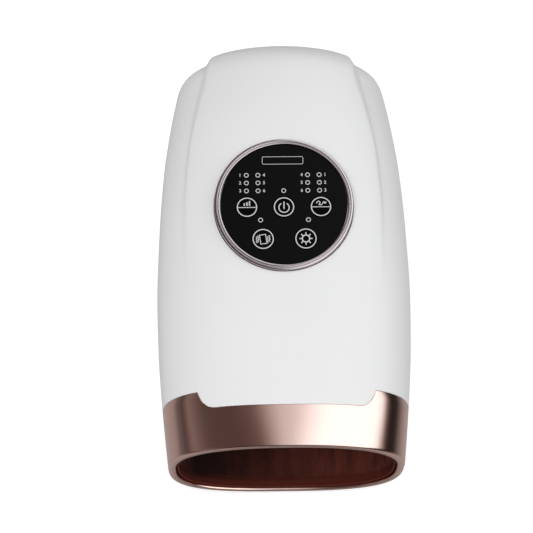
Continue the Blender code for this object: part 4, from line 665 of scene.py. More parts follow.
def noise(tree, place, scale, detail=2.0, rough=0.5):
    """A noise of so many grains a metre."""
    return add_node(tree, "TexNoise", "Fac",
                    {"Vector": place, "Scale": scale, "Detail": detail, "Roughness": rough})


def wave(tree, place, scale, distortion=0.0, direction="X"):
    """Bands along one direction."""
    return add_node(tree, "TexWave", "Fac", {"Vector": place, "Scale": scale, "Distortion": distortion},
                    bands_direction=direction)


def spread(tree, value, low, high, start=0.0, end=1.0):
    """Map a value from start..end to low..high."""
    return add_node(tree, "MapRange", "Result",
                    {"Value": value, "From Min": start, "From Max": end, "To Min": low, "To Max": high})


def bands(tree, value, stops):
    """A colour that runs through stops of place, from 0 to 1, and colour."""
    made = tree.nodes.new("ShaderNodeValToRGB")
    line = made.color_ramp
    line.elements.remove(line.elements[1])
    line.elements[0].position = stops[0][0]
    line.elements[0].color = (*stops[0][1], 1)
    for place, shade in stops[1:]:
        line.elements.new(place).color = (*shade, 1)
    return feed(made, {"Fac": value}).outputs["Color"]


def mix(tree, value, first, second):
    """A colour between two colours. Each is a colour or a socket."""
    made = tree.nodes.new("ShaderNodeMix")
    made.data_type = "RGBA"
    given = {"A": first, "B": second}
    feed(made, {"Factor": value})
    feed(made, {i: given[socket.name] for i, socket in enumerate(made.inputs) if socket.type == "RGBA"})
    return next(socket for socket in made.outputs if socket.type == "RGBA")


def combine(tree, operation, first, second):
    """Arithmetic on two values. Each is a number or a socket."""
    return add_node(tree, "Math", "Value", {0: first, 1: second}, operation=operation)


def relief(tree, shader, height, distance, strength):
    """Bump the shader's normal by a height."""
    bump = add_node(tree, "Bump", "Normal", {"Strength": strength, "Distance": distance, "Height": height})
    feed(shader, {"Normal": bump})


def scaled(colour_value, factor):
    """A colour made lighter or darker."""
    return tuple(min(1.0, part * factor) for part in colour_value)


def moulded_finish(name, base, roughness, grain, depth, change, metallic=0.0, specular=0.5):
    """Moulded or metallised plastic: colour and roughness drift slowly, and a fine grain bumps the skin."""
    found, tree, shader = new_finish(name)
    place = object_place(tree)
    drift = noise(tree, place, 22, 3)
    fine = noise(tree, place, grain, 2)
    blurred = combine(tree, "ADD", spread(tree, drift, roughness - 0.03, roughness + 0.03),
                      spread(tree, fine, -0.02, 0.02))
    feed(shader, {"Base Color": mix(tree, drift, scaled(base, 1 - change), scaled(base, 1 + change)),
                  "Roughness": blurred, "Metallic": metallic, "Specular IOR Level": specular})
    relief(tree, shader, fine, depth, 0.5)
    return found


def brushed_finish(name, base, roughness):
    """Metal with fine lines along Y, and a slow drift in colour."""
    found, tree, shader = new_finish(name)
    lines = noise(tree, object_place(tree, (900, 9, 900)), 1.0, 3, 0.6)
    drift = noise(tree, object_place(tree), 40, 2)
    tint = mix(tree, lines, scaled(base, 0.90), scaled(base, 1.08))
    feed(shader, {"Base Color": mix(tree, drift, tint, scaled(base, 0.97)), "Metallic": 1.0,
                  "Roughness": spread(tree, lines, roughness - 0.06, roughness + 0.08)})
    relief(tree, shader, lines, 0.000006, 0.6)
    return found


def clear_finish(name, base, roughness, transmission=0.85):
    """Clear plastic with faint flow lines."""
    found, tree, shader = new_finish(name)
    flow = noise(tree, object_place(tree, (1, 1, 3)), 120, 3)
    feed(shader, {"Base Color": mix(tree, flow, scaled(base, 0.94), base),
                  "Roughness": spread(tree, flow, roughness - 0.04, roughness + 0.08),
                  "Transmission Weight": transmission, "IOR": 1.49})
    relief(tree, shader, flow, 0.00002, 0.4)
    return found


def board_finish(name, base):
    """Circuit board lacquer with lighter copper tracks under it, as the joints of a fine brick pattern."""
    found, tree, shader = new_finish(name)
    place = object_place(tree)
    tracks = tree.nodes.new("ShaderNodeTexBrick")
    feed(tracks, {"Vector": place, "Scale": 160, "Mortar Size": 0.035, "Color1": base,
                  "Color2": scaled(base, 0.85), "Mortar": scaled(base, 2.1)})
    drift = noise(tree, place, 60, 3)
    tint = mix(tree, spread(tree, drift, 0, 0.35), tracks.outputs["Color"], scaled(base, 0.6))
    feed(shader, {"Base Color": tint, "Roughness": spread(tree, drift, 0.32, 0.46)})
    relief(tree, shader, tracks.outputs["Fac"], 0.00004, 0.5)
    return found


def film_finish(name, base, line, scale, distortion=3.0):
    """Plastic film with a heater's straight lines or a weld's wavy ones."""
    found, tree, shader = new_finish(name)
    place = object_place(tree)
    lines = wave(tree, place, scale, distortion)
    drift = noise(tree, place, 70, 3)
    feed(shader, {"Base Color": mix(tree, spread(tree, lines, 0, 1, 0.78, 0.84), base, line),
                  "Roughness": spread(tree, drift, 0.30, 0.50)})
    relief(tree, shader, combine(tree, "ADD", drift, lines), 0.00008, 0.5)
    return found


def fabric_finish(name, base):
    """Knitted cloth: crossing threads darken and bump the colour, streaks run along it, and painted shade
    makes it darker towards the left. It turns lighter again at its far left end, and a painted highlight
    makes the front hem lighter."""
    found, tree, shader = new_finish(name)
    cloth = add_node(tree, "UVMap", "UV", {}, uv_map="cloth")
    weave = combine(tree, "MULTIPLY", *[wave(tree, cloth, THREADS, 0.6, axis) for axis in "XY"])
    streaks = noise(tree, object_place(tree, (1, 0.10, 0.2)), 300, 3, 0.65)
    place = object_place(tree)
    drift = noise(tree, place, 30, 3)
    across, forward = along_axis(tree, place, "X"), along_axis(tree, place, "Y")
    tint = mix(tree, weave, scaled(base, 0.72), scaled(base, 1.30))
    tint = mix(tree, spread(tree, streaks, 0, 0.85, 0.40, 0.68), tint, scaled(base, 0.25))
    tint = mix(tree, spread(tree, drift, 0, 0.35), tint, scaled(base, 1.25))
    # painted shade: the cloth darkens towards the left, nearly to black
    tint = mix(tree, spread(tree, across, 0.95, 0, *PAINTED_SHADE_SPAN), tint, scaled(base, 0.015))
    # the cloth turns lighter at its far left end
    tint = mix(tree, spread(tree, across, 0.60, 0, *FAR_LEFT_END_SPAN), tint, scaled(base, 0.55))
    # painted highlight: the front hem goes back to the base colour, as if lit
    tint = mix(tree, spread(tree, forward, 0.90, 0, *PAINTED_HEM_LIGHT_SPAN), tint, base)
    feed(shader, {"Base Color": tint, "Roughness": 0.72, "Sheen Weight": 0.03, "Sheen Roughness": 0.5,
                  "Sheen Tint": (0.55, 0.25, 0.22), "Specular IOR Level": 0.10})
    relief(tree, shader, combine(tree, "ADD", weave, streaks), 0.00025, 0.6)
    return found


def print_finish(name, base):
    """Printed ink: a slightly uneven, matt metal-grey layer."""
    found, tree, shader = new_finish(name)
    grain = noise(tree, object_place(tree), 2600, 2)
    feed(shader, {"Base Color": mix(tree, grain, scaled(base, 0.88), scaled(base, 1.10)),
                  "Roughness": spread(tree, grain, 0.38, 0.52)})
    relief(tree, shader, grain, 0.000004, 0.5)
    return found


# Finishes by name: how each is made, and from what. A word stands for a colour that a user may change.
# Moulded ones give roughness, grains a metre, their depth, the change in colour, metal and shine; brushed and
# clear ones roughness, and the hose how much light it lets through; films their lines' colour, scale and
# waviness.
FINISHES = {
    "white_shell": (moulded_finish, "white", 0.40, 1100, 0.00002, 0.012, 0.0, 0.4),
    "rose_metal": (moulded_finish, "rose", 0.17, 700, 0.000006, 0.03, 1.0),
    "pink_chrome": (moulded_finish, "chrome", 0.16, 600, 0.000004, 0.03, 1.0),
    "black_gloss": (moulded_finish, "gloss", 0.10, 500, 0.000002, 0.1, 0.0, 0.045),
    "black_key": (moulded_finish, "key", 0.16, 900, 0.000004, 0.1, 0.0, 0.02),
    "burgundy_fabric": (fabric_finish, "fabric"),
    "white_rubber": (moulded_finish, (0.62, 0.62, 0.60), 0.68, 2400, 0.00005, 0.03),
    "steel": (brushed_finish, (0.56, 0.56, 0.58), 0.30),
    "brass": (brushed_finish, (0.64, 0.48, 0.23), 0.34),
    "black_plastic": (moulded_finish, (0.022, 0.022, 0.023), 0.48, 1500, 0.00004, 0.08),
    "grey_plastic": (moulded_finish, (0.40, 0.40, 0.41), 0.50, 1500, 0.00004, 0.04),
    "clear_plastic": (clear_finish, (0.88, 0.90, 0.91), 0.14),
    "green_board": (board_finish, (0.02, 0.15, 0.06)),
    "bag_film": (film_finish, (0.30, 0.30, 0.33), (0.24, 0.24, 0.27), 26),
    "amber_film": (film_finish, (0.62, 0.30, 0.06), (0.36, 0.13, 0.05), 44.88, 0.0),
    "cell_wrap": (moulded_finish, (0.05, 0.14, 0.42), 0.36, 300, 0.00003, 0.06),
    "clear_hose": (clear_finish, (0.78, 0.80, 0.80), 0.30, 0.5),
    "print": (print_finish, "print"),
    # the piping's finish: real seams, with their shadow painted in as a dark colour
    "seam": (moulded_finish, "seam", 0.75, 3000, 0.00006, 0.15, 0.0, 0.1),
}


def finish(name):
    """The finish of a material slot, made when it is first asked for."""
    found = bpy.data.materials.get("look_" + name)
    if found:
        return found
    make, base, *rest = FINISHES[name]
    base = tuple(getattr(finishes(), base)) if isinstance(base, str) else base
    return make("look_" + name, base, *rest)


# ---------------------------------------------------------------- the shells and the cuff

def crown_columns():
    """Half the columns of the upper shell as numbers: the ones inside the panel's hole, whose distances from
    the middle are R tan(a), and the shares of the way from the hole's edge to the crease, which put columns
    evenly round the tongue's corner."""
    sizes, hole = cuff(), panel().hole_radius
    inside = hole * np.tan(np.linspace(0, math.pi / 4, HOLE_COLUMNS))
    t = np.linspace(1, 0, CORNER_COLUMNS)
    corner = (sizes.tongue_side_half * (1 - t) ** 2 + sizes.tongue_bend_half * 2 * t * (1 - t)
              + sizes.tongue_front_half * t * t)
    corner = np.append(corner, sizes.tongue_side_half + sizes.seam_gap)
    return inside, np.append((corner - hole) / (crease_edge(np.array(cuff_back())) - hole), 1)


def crease_edge(station):
    """Where the crease's inner edge lies across the case."""
    station = np.maximum(station, cuff_back())
    share = along_share(station)
    half = case().crease_width / case().half_width / 2 * follow(share, CREASE_GROWTH)
    return (follow(share, CREASE_SHARES) - half) * half_width(station)


def front_columns():
    """How far half the columns of the upper shell lie from the middle at its border with the band."""
    inside, between = crown_columns()
    hole = panel().hole_radius
    return np.concatenate([inside, hole + between * (float(crease_edge(np.array(cuff_back()))) - hole)])


def crease_columns(station):
    """Turns of the columns across the crease, s of its width from its middle: arccos((share + width
    s)^(n/2))."""
    share = along_share(station)
    width = case().crease_width / case().half_width * follow(share, CREASE_GROWTH)
    place = follow(share, CREASE_SHARES) + width * (np.linspace(0, 1, CREASE_COLUMNS + 1)[1:] - 0.5)
    return np.arccos(np.clip(place, 0, 1) ** (follow(share, POWER_SHARES) / 2))


def side_shares(count):
    """Shares of the last column's turn for the columns from there down to the parting: 1 - s^0.9."""
    return 1 - np.linspace(0, 1, count + 1)[1:] ** 0.9


def round_the_hole(x, station, crown):
    """Draw the square of rows and columns round the panel's hole into its circle: p' = p (1 + w (m/|p| -
    1)), with m the larger of |x| and |y|, and w falling from 1 at the hole to 0 just short of the crease."""
    centre, hole = panel().panel_y, panel().hole_radius
    away = station - centre
    reach = np.maximum(np.abs(x), np.abs(away))
    far = np.hypot(x, away)
    clear = 0.0004
    last = float(crease_edge(np.array(centre + 1.2 * hole))) - clear
    weight = 1 - smooth((reach - hole) / (last - hole))
    weight[:, crown:] = 0
    ratio = np.divide(reach, far, out=np.ones_like(far), where=far > 1e-9)
    factor = 1 + weight * (ratio - 1)
    return x * factor, centre + away * factor


def top_grid():
    """The upper shell's grid before it is lifted: stations, turns, fans, which faces stay, and which points
    lie in the panel's hole. Rows run from the tongue's edge to the panel's hole, through it at R tan(a), on
    to the last full section, and round the nose."""
    sizes, hole, back = panel(), panel().hole_radius, cuff_back()
    inside, between = crown_columns()
    steps, crown = len(inside) - 1, len(inside) + len(between)
    crease = slice(crown, crown + CREASE_COLUMNS)
    sides = side_shares(TOP_SIDES)
    columns = crease.stop + TOP_SIDES
    start = back + border_lean(np.concatenate([turn_at(front_columns(), back),
                                               crease_columns(np.full(CREASE_COLUMNS, back)),
                                               crease_turns(back)[0] * sides]))
    start[:crown] += tongue_edge(front_columns()) - back
    rise = np.linspace(0, 1, FRONT_ROWS)[:-1, None] ** 0.95
    first = start[None, :] * (1 - rise) + (sizes.panel_y - hole) * rise
    through = sizes.panel_y + hole * np.tan(np.linspace(-math.pi / 4, math.pi / 4, 2 * steps + 1))
    last = np.linspace(sizes.panel_y + hole, nose_start(), BACK_ROWS)[1:]
    rest = np.concatenate([through, last, np.full(NOSE_ROWS, nose_start())])
    station = np.concatenate([first, np.repeat(rest[:, None], columns, axis=1)])
    fan = np.zeros(len(station))
    fan[-NOSE_ROWS:] = np.linspace(0, math.pi / 2, NOSE_ROWS + 1)[1:] ** 1.05 * (math.pi / 2) ** -0.05
    x = np.zeros_like(station)
    x[:, :len(inside)] = inside
    x[:, len(inside):crown] = hole + between * (crease_edge(station[:, len(inside):crown]) - hole)
    x, station = round_the_hole(x, station, crown)
    turn = turn_at(x, station)
    turn[:, crease] = crease_columns(station[:, crease])
    turn[:, crease.stop:] = crease_turns(station[:, crease.stop:])[0] * sides
    station = np.concatenate([station[:, ::-1], station[:, 1:]], axis=1)
    turn = np.concatenate([turn[:, ::-1], math.pi - turn[:, 1:]], axis=1)
    rows, wide = station.shape
    row, column = FRONT_ROWS - 1, columns - 1 - steps
    keep = np.ones((rows - 1, wide - 1), dtype=bool)
    keep[row:row + 2 * steps, column:column + 2 * steps] = False
    on_hole = np.zeros((rows, wide), dtype=bool)
    on_hole[row:row + 2 * steps + 1, column:column + 2 * steps + 1] = True
    return station, turn, np.repeat(fan[:, None], wide, axis=1), keep, on_hole


def post_mesh(name, side, place, radius, end):
    """A post that grows from the middle of a shell's wall, whose foot follows the skin, to a flat end."""
    angles = np.linspace(0, 2 * math.pi, 40, endpoint=False)[None, :]
    reach = np.array([0, 0.5, 1, 1, 0])[:, None] * radius
    x, y = place[0] + reach * np.cos(angles), place[1] + reach * np.sin(angles)
    z = skin_height(side, x, y) - side * case().shell_wall / 2
    z[3:] = end
    return grid_mesh(name, np.stack([x, y, z], axis=-1), ring=True)


def places(node, count):
    """Where the numbered pieces of a kind stand: the middles of their boxes."""
    boxes = [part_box(f"{node}_{i}") for i in range(1, count + 1)]
    return [((low.x + high.x) / 2, (low.y + high.y) / 2) for low, high in boxes]


def rod_mesh(name, place, radius, low, high, steps=40):
    """An upright round rod, for cutting."""
    return turned_mesh(name, [(0, low), (radius, low), (radius, high), (0, high)], place, steps)


def box_mesh(name, low, high):
    """A box, for cutting."""
    x, y = [low[0], high[0], high[0], low[0]], [low[1], low[1], high[1], high[1]]
    middle = ((low[0] + high[0]) / 2, (low[1] + high[1]) / 2)
    rows = [[(*middle, z)] * 4 if flat else list(zip(x, y, [z] * 4))
            for z, flat in ((low[2], True), (low[2], False), (high[2], False), (high[2], True))]
    return grid_mesh(name, np.array(rows, dtype=float), ring=True)


def slot_mesh(name, half, low, high, corner, front, back):
    """A bar along the case with a rounded rectangle as its section, for cutting the socket's hole."""
    outline = []
    for x, z, first in ((half, high, 0), (-half, high, 90), (-half, low, 180), (half, low, 270)):
        middle = (x - math.copysign(corner, x), z - (corner if z == high else -corner))
        outline += arc(middle, corner, first, first + 90, 5)
    x, z = np.array(outline).T
    centre = np.full_like(x, (low + high) / 2)
    rows = [(0 * x, front, centre), (x, front, z), (x, back, z), (0 * x, back, centre)]
    points = np.stack([np.stack([a, np.full_like(x, y), c], axis=-1) for a, y, c in rows])
    return grid_mesh(name, points, ring=True)


class MASSAGER_OT_top_shell(bpy.types.Operator):
    """Build the white upper shell with its raised crown band, its tongue and the panel's hole"""
    bl_idname = "massager.top_shell"
    bl_label = "Upper shell"

    def execute(self, context):
        station, turn, fan, keep, on_hole = top_grid()
        points = raise_crown(skin(1, station, turn, fan, case().fit_gap / 2), station, turn)
        centre, hole = [0, panel().panel_y], panel().hole_radius
        away = points[..., :2] - centre
        far = np.linalg.norm(away, axis=-1)
        snap = np.where(on_hole & (far > 0.9 * hole), hole / np.maximum(far, 1e-6), 1)
        points[..., :2] = centre + away * snap[..., None]
        mesh = grid_mesh("top_shell_skin", points, keep=keep, outwards=(0, 0, 0.04))
        made = piece("top_shell_skin", mesh, "case", "white_shell", ["top_shell"])
        add_wall(made, case().shell_wall)
        edge = 0.00035
        round_edges(made, edge)
        bake(made)
        sizes, gap = screws(), case().fit_gap
        stands = places("case_screw", SCREWS)
        posts = [post_mesh("post", 1, place, sizes.post_radius, sizes.post_split + gap) for place in stands]
        cut(made, tool("top_posts", *posts), operation="UNION")
        pilots = [rod_mesh("pilot", place, sizes.shank_radius + gap, sizes.post_split - PAST,
                           sizes.post_split + sizes.grip + PAST) for place in stands]
        cut(made, tool("pilots", *pilots))
        return {"FINISHED"}


class MASSAGER_OT_bottom_shell(bpy.types.Operator):
    """Build the white lower shell with its screw wells, foot pockets and socket hole"""
    bl_idname = "massager.bottom_shell"
    bl_label = "Lower shell"

    def execute(self, context):
        along = np.linspace(cuff_back(), nose_start(), BOTTOM_ROWS)
        station = np.concatenate([along, np.full(BOTTOM_NOSE_ROWS, nose_start())])
        fan = np.concatenate([np.zeros(BOTTOM_ROWS), np.linspace(0, math.pi / 2, BOTTOM_NOSE_ROWS + 1)[1:]])
        turn = np.linspace(0, math.pi, BOTTOM_COLUMNS)
        points = skin(-1, station[:, None], turn[None, :], fan[:, None], case().fit_gap / 2)
        mesh = grid_mesh("bottom_shell_skin", points, outwards=(0, 0, 0.06))
        made = piece("bottom_shell_skin", mesh, "case", "white_shell", ["bottom_shell"])
        add_wall(made, case().shell_wall)
        bake(made)
        self.openings(made, screws())
        return {"FINISHED"}

    def openings(self, made, sizes):
        """Screw posts with wells, foot pockets with walls and roofs, and the socket's hole."""
        gap, pocket_wall, pocket_roof = case().fit_gap, 0.0020, 0.0022
        socket_corner, past_nose = 0.0008, 0.130
        feet, stands = places("foot_pad", FEET), places("case_screw", SCREWS)
        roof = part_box("foot_pad_1")[1].z + gap
        pocket = sizes.foot_radius + gap
        posts = [post_mesh("post", -1, place, sizes.post_radius, sizes.post_split) for place in stands]
        roofs = [post_mesh("roof", -1, place, pocket + pocket_wall, roof + pocket_roof) for place in feet]
        cut(made, tool("posts", *posts), tool("roofs", *roofs), operation="UNION")
        head, shank, end = sizes.head_radius + gap, sizes.shank_radius + gap, sizes.post_split + PAST
        profile = [(0, -PAST), (head, -PAST), (head, sizes.seat), (shank, sizes.seat), (shank, end), (0, end)]
        wells = [turned_mesh("well", profile, place, 40) for place in stands]
        pockets = [rod_mesh("pocket", place, pocket, -PAST, roof, 64) for place in feet]
        low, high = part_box("charging_socket")
        hole = slot_mesh("hole", high.x + gap, low.z - gap, high.z + gap, socket_corner, low.y, past_nose)
        cut(made, tool("wells", *wells), tool("pockets", *pockets), tool("socket_hole", hole))


class MASSAGER_OT_fixings(bpy.types.Operator):
    """Build the case screws with their threads and cross recesses, and the foot pads"""
    bl_idname = "massager.fixings"
    bl_label = "Screws and feet"

    def execute(self, context):
        for build, node, count in ((self.screw, "case_screw", SCREWS), (self.foot, "foot_pad", FEET)):
            for i, place in enumerate(places(node, count), 1):
                build(f"{node}_{i}", place, screws())
        return {"FINISHED"}

    def screw(self, node, place, sizes):
        """A self-tapping screw, head down. The thread's radius = shank - depth |2 f - 1|^0.8, with f the
        fraction of height / pitch - angle / turn, and it fades in under the head."""
        low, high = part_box(node)
        seat = sizes.seat - case().fit_gap
        crown, edge, fade = 0.0001, 0.0006, 0.0020
        tip_length, tip_radius, tip_height = 0.0012, 0.0005, 0.0002
        arm_half, arm_width_half, recess = 0.0016, 0.00035, 0.0013
        steps = 20
        angles = np.linspace(0, 2 * math.pi, steps, endpoint=False)[None, :]
        height = np.linspace(seat, high.z - tip_length, 150)[:, None]
        phase = height / sizes.pitch - angles / (2 * math.pi)
        deep = sizes.thread_depth * smooth((height - seat) / fade)
        radius = sizes.shank_radius - deep * np.abs((phase % 1) * 2 - 1) ** 0.8
        face = sizes.head_radius - edge
        head = [(0, low.z + crown), (sizes.head_radius * 0.5, low.z), (face, low.z + crown)]
        head += arc((face, low.z + crown + edge), edge, -90, 0, 5) + [(sizes.head_radius, seat)]
        tip = [(tip_radius, high.z - tip_height), (0, high.z)]
        head, tip = [np.repeat(np.array(end)[:, None], steps, axis=1) for end in (head, tip)]
        section = np.concatenate([head, np.stack([radius, height + 0 * angles], axis=-1), tip])
        x = place[0] + section[..., 0] * np.cos(angles)
        y = place[1] + section[..., 0] * np.sin(angles)
        mesh = grid_mesh(node + "_threaded", np.stack([x, y, section[..., 1]], axis=-1), ring=True)
        made = piece(node + "_threaded", mesh, "case", "steel", [node])
        arms = [box_mesh("arm", (place[0] - a, place[1] - b, low.z - PAST),
                         (place[0] + a, place[1] + b, low.z + recess))
                for a, b in ((arm_half, arm_width_half), (arm_width_half, arm_half))]
        cut(made, *[tool("arm", arm) for arm in arms])

    def foot(self, node, place, sizes):
        """A rubber pad with a rounded edge and a shallow groove round its sole."""
        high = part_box(node)[1].z
        radius, bevel, edge, groove = sizes.foot_radius, 0.0003, 0.0008, 0.0004
        profile = [(0, high), (radius - bevel, high), (radius, high - bevel), (radius, edge)]
        profile += arc((radius - edge, edge), edge, 0, -90, 6)[1:]
        sole = ((0.74, 0), (0.71, groove), (0.66, groove), (0.63, 0), (0, 0))
        profile += [(radius * share, z) for share, z in sole]
        mesh = turned_mesh(node + "_sole", profile, place, 64)
        piece(node + "_sole", mesh, "case", "white_rubber", [node])


def ring_turns(inset):
    """Turns round the whole cuff section at the band's back, a row for each inset: the upper shell's front
    columns at the same distances from the middle, then the lower half in even steps."""
    station = np.full_like(inset, cuff_back())
    shrink = (half_width(station) - inset) / half_width(station)
    upper = turn_at(front_columns()[None, :] * shrink, station, inset)
    half = np.concatenate([upper, upper[:, -1:] * side_shares(CUFF_SIDES)[None, :]], axis=1)
    lower = np.linspace(0, math.pi, CUFF_BELOW + 2)[1:-1]
    lower = np.broadcast_to(-lower[None, :], (len(half), len(lower)))
    return np.concatenate([half[:, ::-1], math.pi - half[:, 1:], lower[:, ::-1]], axis=1)


def cuff_section(station, inset, turn):
    """Points of the cuff's section drawn in by an inset: the case's superellipses, upper and lower."""
    over = np.sin(turn) >= -1e-12
    power = np.where(over, follow(along_share(station), POWER_SHARES), BELLY_POWER)
    middle = parting_height(station)
    tall = np.where(over, top_height(station) - middle, middle - base_height(station)) - inset
    x = (half_width(station) - inset) * signed_power(np.cos(turn), 2 / power)
    z = middle + tall * signed_power(np.sin(turn), 2 / power)
    return np.stack([x, station + lean(station) * (z - case().skin_base), z], axis=-1)


class MASSAGER_OT_cuff_band(bpy.types.Operator):
    """Build the metallised cuff band with its rolled rim and the tongue's notch"""
    bl_idname = "massager.cuff_band"
    bl_label = "Cuff band"

    def execute(self, context):
        base, nudge, follows, inset = [column[:, None] for column in np.array(self.profile(cuff())).T]
        turn = ring_turns(inset)
        border = cuff_back() - cuff().seam_gap
        reach = tongue_edge(front_columns(), cuff().seam_gap)
        back = np.full(turn.shape[1], border)
        back[CUFF_SIDES:CUFF_SIDES + 2 * len(reach) - 1] = np.minimum([*reach[::-1], *reach[1:]], border)
        back += border_lean(np.where(turn[0] > -1e-9, turn[0], 0))
        station = base * (1 - follows) + back[None, :] * follows + nudge
        self.hold_columns(turn, station, inset)
        mesh = grid_mesh("cuff_band_shell", cuff_section(station, inset, turn), ring=True, tube=True)
        piece("cuff_band_shell", mesh, "case", "rose_metal", ["cuff_band"])
        return {"FINISHED"}

    def profile(self, sizes):
        """The band's section from its back edge round the rim and back inside, as rows of place, a nudge
        along the case, how far the row follows the back edge, and inset."""
        rim, edge = rim_y(), 0.00025
        front = rim + sizes.rim_round
        rows = [(front, 0, 1, edge), (front, -edge * 0.3, 1, edge * 0.3), (front, -edge, 1, 0)]
        rows += [(front, 0, share, 0) for share in (0.86, 0.7, 0.54, 0.4, 0.26, 0.12)]
        rolled = arc((front, sizes.rim_round), sizes.rim_round, 270, 180, 12)
        rolled += arc((rim + sizes.rim_inner_round, sizes.rim_wall - sizes.rim_inner_round),
                      sizes.rim_inner_round, 180, 90, 8)
        rows += [(y, 0, 0, inset) for y, inset in rolled]
        rows += [(rim + share * sizes.rim_depth, 0, 0, sizes.rim_wall) for share in (0.6, 1)]
        step = rim + sizes.rim_depth + sizes.rim_step
        return rows + [(step, 0, share, sizes.cuff_wall) for share in (0, 0.3, 0.6, 1)]

    def hold_columns(self, turn, station, inset):
        """Move turns to a grid of stations, so that each upper column keeps its distance from the middle."""
        x, shares = front_columns(), side_shares(CUFF_SIDES)
        count = len(x)
        for first, own in ((CUFF_SIDES, x[::-1]), (CUFF_SIDES + count - 1, -x)):
            part = station[:, first:first + count]
            shrink = (half_width(part) - inset) / half_width(part)
            turn[:, first:first + count] = turn_at(own[None, :] * shrink, part, inset)
        left = 2 * count - 1 + CUFF_SIDES
        turn[:, :CUFF_SIDES] = turn[:, CUFF_SIDES:CUFF_SIDES + 1] * shares[::-1]
        turn[:, left:left + CUFF_SIDES] = math.pi - (math.pi - turn[:, left - 1:left]) * shares


# ---------------------------------------------------------------- the control panel

def lens_top():
    """Height of the lens's face."""
    return panel().panel_top - panel().lens_drop


def ledge_height():
    """Height of the ring's ledge and of the keys' flanges, under the lens."""
    return lens_top() - panel().lens_thick - case().fit_gap


def key_places():
    """The keys by their bodies: their nodes and their centres."""
    sizes = panel()
    return {body: (node, (across * sizes.ring_radius, sizes.panel_y + along * sizes.ring_radius))
            for body, (node, across, along) in KEY_SHARES.items()}


class MASSAGER_OT_panel(bpy.types.Operator):
    """Build the chromed ring, the black lens and the five keys"""
    bl_idname = "massager.panel"
    bl_label = "Control panel"

    def execute(self, context):
        sizes = panel()
        self.ring(sizes, (0, sizes.panel_y))
        self.lens(sizes, (0, sizes.panel_y))
        self.keys(sizes)
        return {"FINISHED"}

    def ring(self, sizes, centre):
        """The ring: a skirt, a ledge under the lens, and a top with a groove between a broad outer band and a
        thin inner lip."""
        low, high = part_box("panel_bezel")
        top, outer, ledge = sizes.panel_top, sizes.ring_radius, ledge_height()
        lip, lip_round = outer - sizes.ring_band, 0.0003
        groove = (lip + outer) / 2 - 0.0002
        flange, flange_top, straight = (high.x - low.x) / 2, low.z + 0.0014, 0.0016
        hole, skirt, ledge_low = outer * 0.8527, outer - 0.0021, ledge - 0.0015
        profile = [(outer, flange_top), (outer, top - straight)]
        profile += arc((outer - sizes.ring_round, top - sizes.ring_round), sizes.ring_round, 0, 90, 8)
        profile += arc((groove, top), sizes.ring_groove, 0, -180, 6)
        profile += arc((lip + lip_round, top - lip_round), lip_round, 90, 180, 4)
        profile += [(lip, ledge), (hole, ledge), (hole, ledge_low), (skirt, ledge_low), (skirt, low.z),
                    (flange, low.z), (flange, flange_top), (outer, flange_top)]
        mesh = turned_mesh("panel_ring", profile, centre, 160)
        piece("panel_ring", mesh, "case", "pink_chrome", ["panel_bezel"])

    def lens(self, sizes, centre):
        """The lens: a disc with a bevelled edge and a hole for each key."""
        top, bevel = lens_top(), 0.0002
        low = top - sizes.lens_thick
        radius = sizes.ring_radius - sizes.ring_band - case().fit_gap
        profile = [(0, top), (radius * 0.5, top), (radius - bevel, top), (radius, top - bevel), (radius, low),
                   (0, low)]
        mesh = turned_mesh("lens_disc", profile, centre, 160)
        made = piece("lens_disc", mesh, "case", "black_gloss", ["panel_lens"])
        hole, over, under = sizes.key_radius + case().fit_gap, top + 2 * PAST, low - 2 * PAST
        rod = [(0, over), (hole, over), (hole, under), (0, under)]
        cut(made, *[tool("hole_" + node, turned_mesh("hole_" + node, rod, place, 64))
                    for node, place in key_places().values()])

    def keys(self, sizes):
        """The keys: a cap with a rounded edge and a flat top, its flange and its stem."""
        top, seat = lens_top() + sizes.key_proud, ledge_height()
        radius, edge, stem, flange_low = sizes.key_radius, sizes.key_round, 0.0015, seat - 0.0012
        for body, (node, place) in key_places().items():
            low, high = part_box(node)
            flange = (high.x - low.x) / 2
            profile = [(0, top), (radius * 0.5, top), (radius * 0.8, top)]
            profile += arc((radius - edge, top - edge), edge, 90, 0, 6)
            profile += [(radius, seat), (flange, seat), (flange, flange_low), (stem, flange_low),
                        (stem, low.z), (0, low.z)]
            mesh = turned_mesh(node + "_cap", profile, place, 64)
            piece(node + "_cap", mesh, body, "black_key", [node])


# Marks on the keys and the panel, in millimetres from the key's or the panel's centre
LAMP_COLUMNS = ((-20.7, -24.2, ("1", "2", "3")), (-14.25, -10.9, ("4", "5", "6")),
                (13.4, 10.1, ("4", "5", "6")), (19.9, 23.1, ("1", "2", "3")))
LAMP_ROWS = (17.2, 12.6, 7.9)
SINGLE_LAMPS = ((0, 7.9), (-13.1, -9.4), (13.4, -9.4))
LAMP_RADIUS, LAMP_LINE = 1.12, 0.45
TITLE_LEFT, TITLE_RIGHT, TITLE_LOW, TITLE_HIGH, TITLE_CORNER, TITLE_LINE = -11.7, 11.0, 23.7, 28.1, 0.8, 0.28
# How far ink reaches into the surface and stands over it, in metres
INK_UNDER, INK_OVER = 0.00001, 0.00003


def circle(centre, radius, steps=48):
    """A closed ring of points."""
    return arc(centre, radius, 0, 360, steps)[:-1]


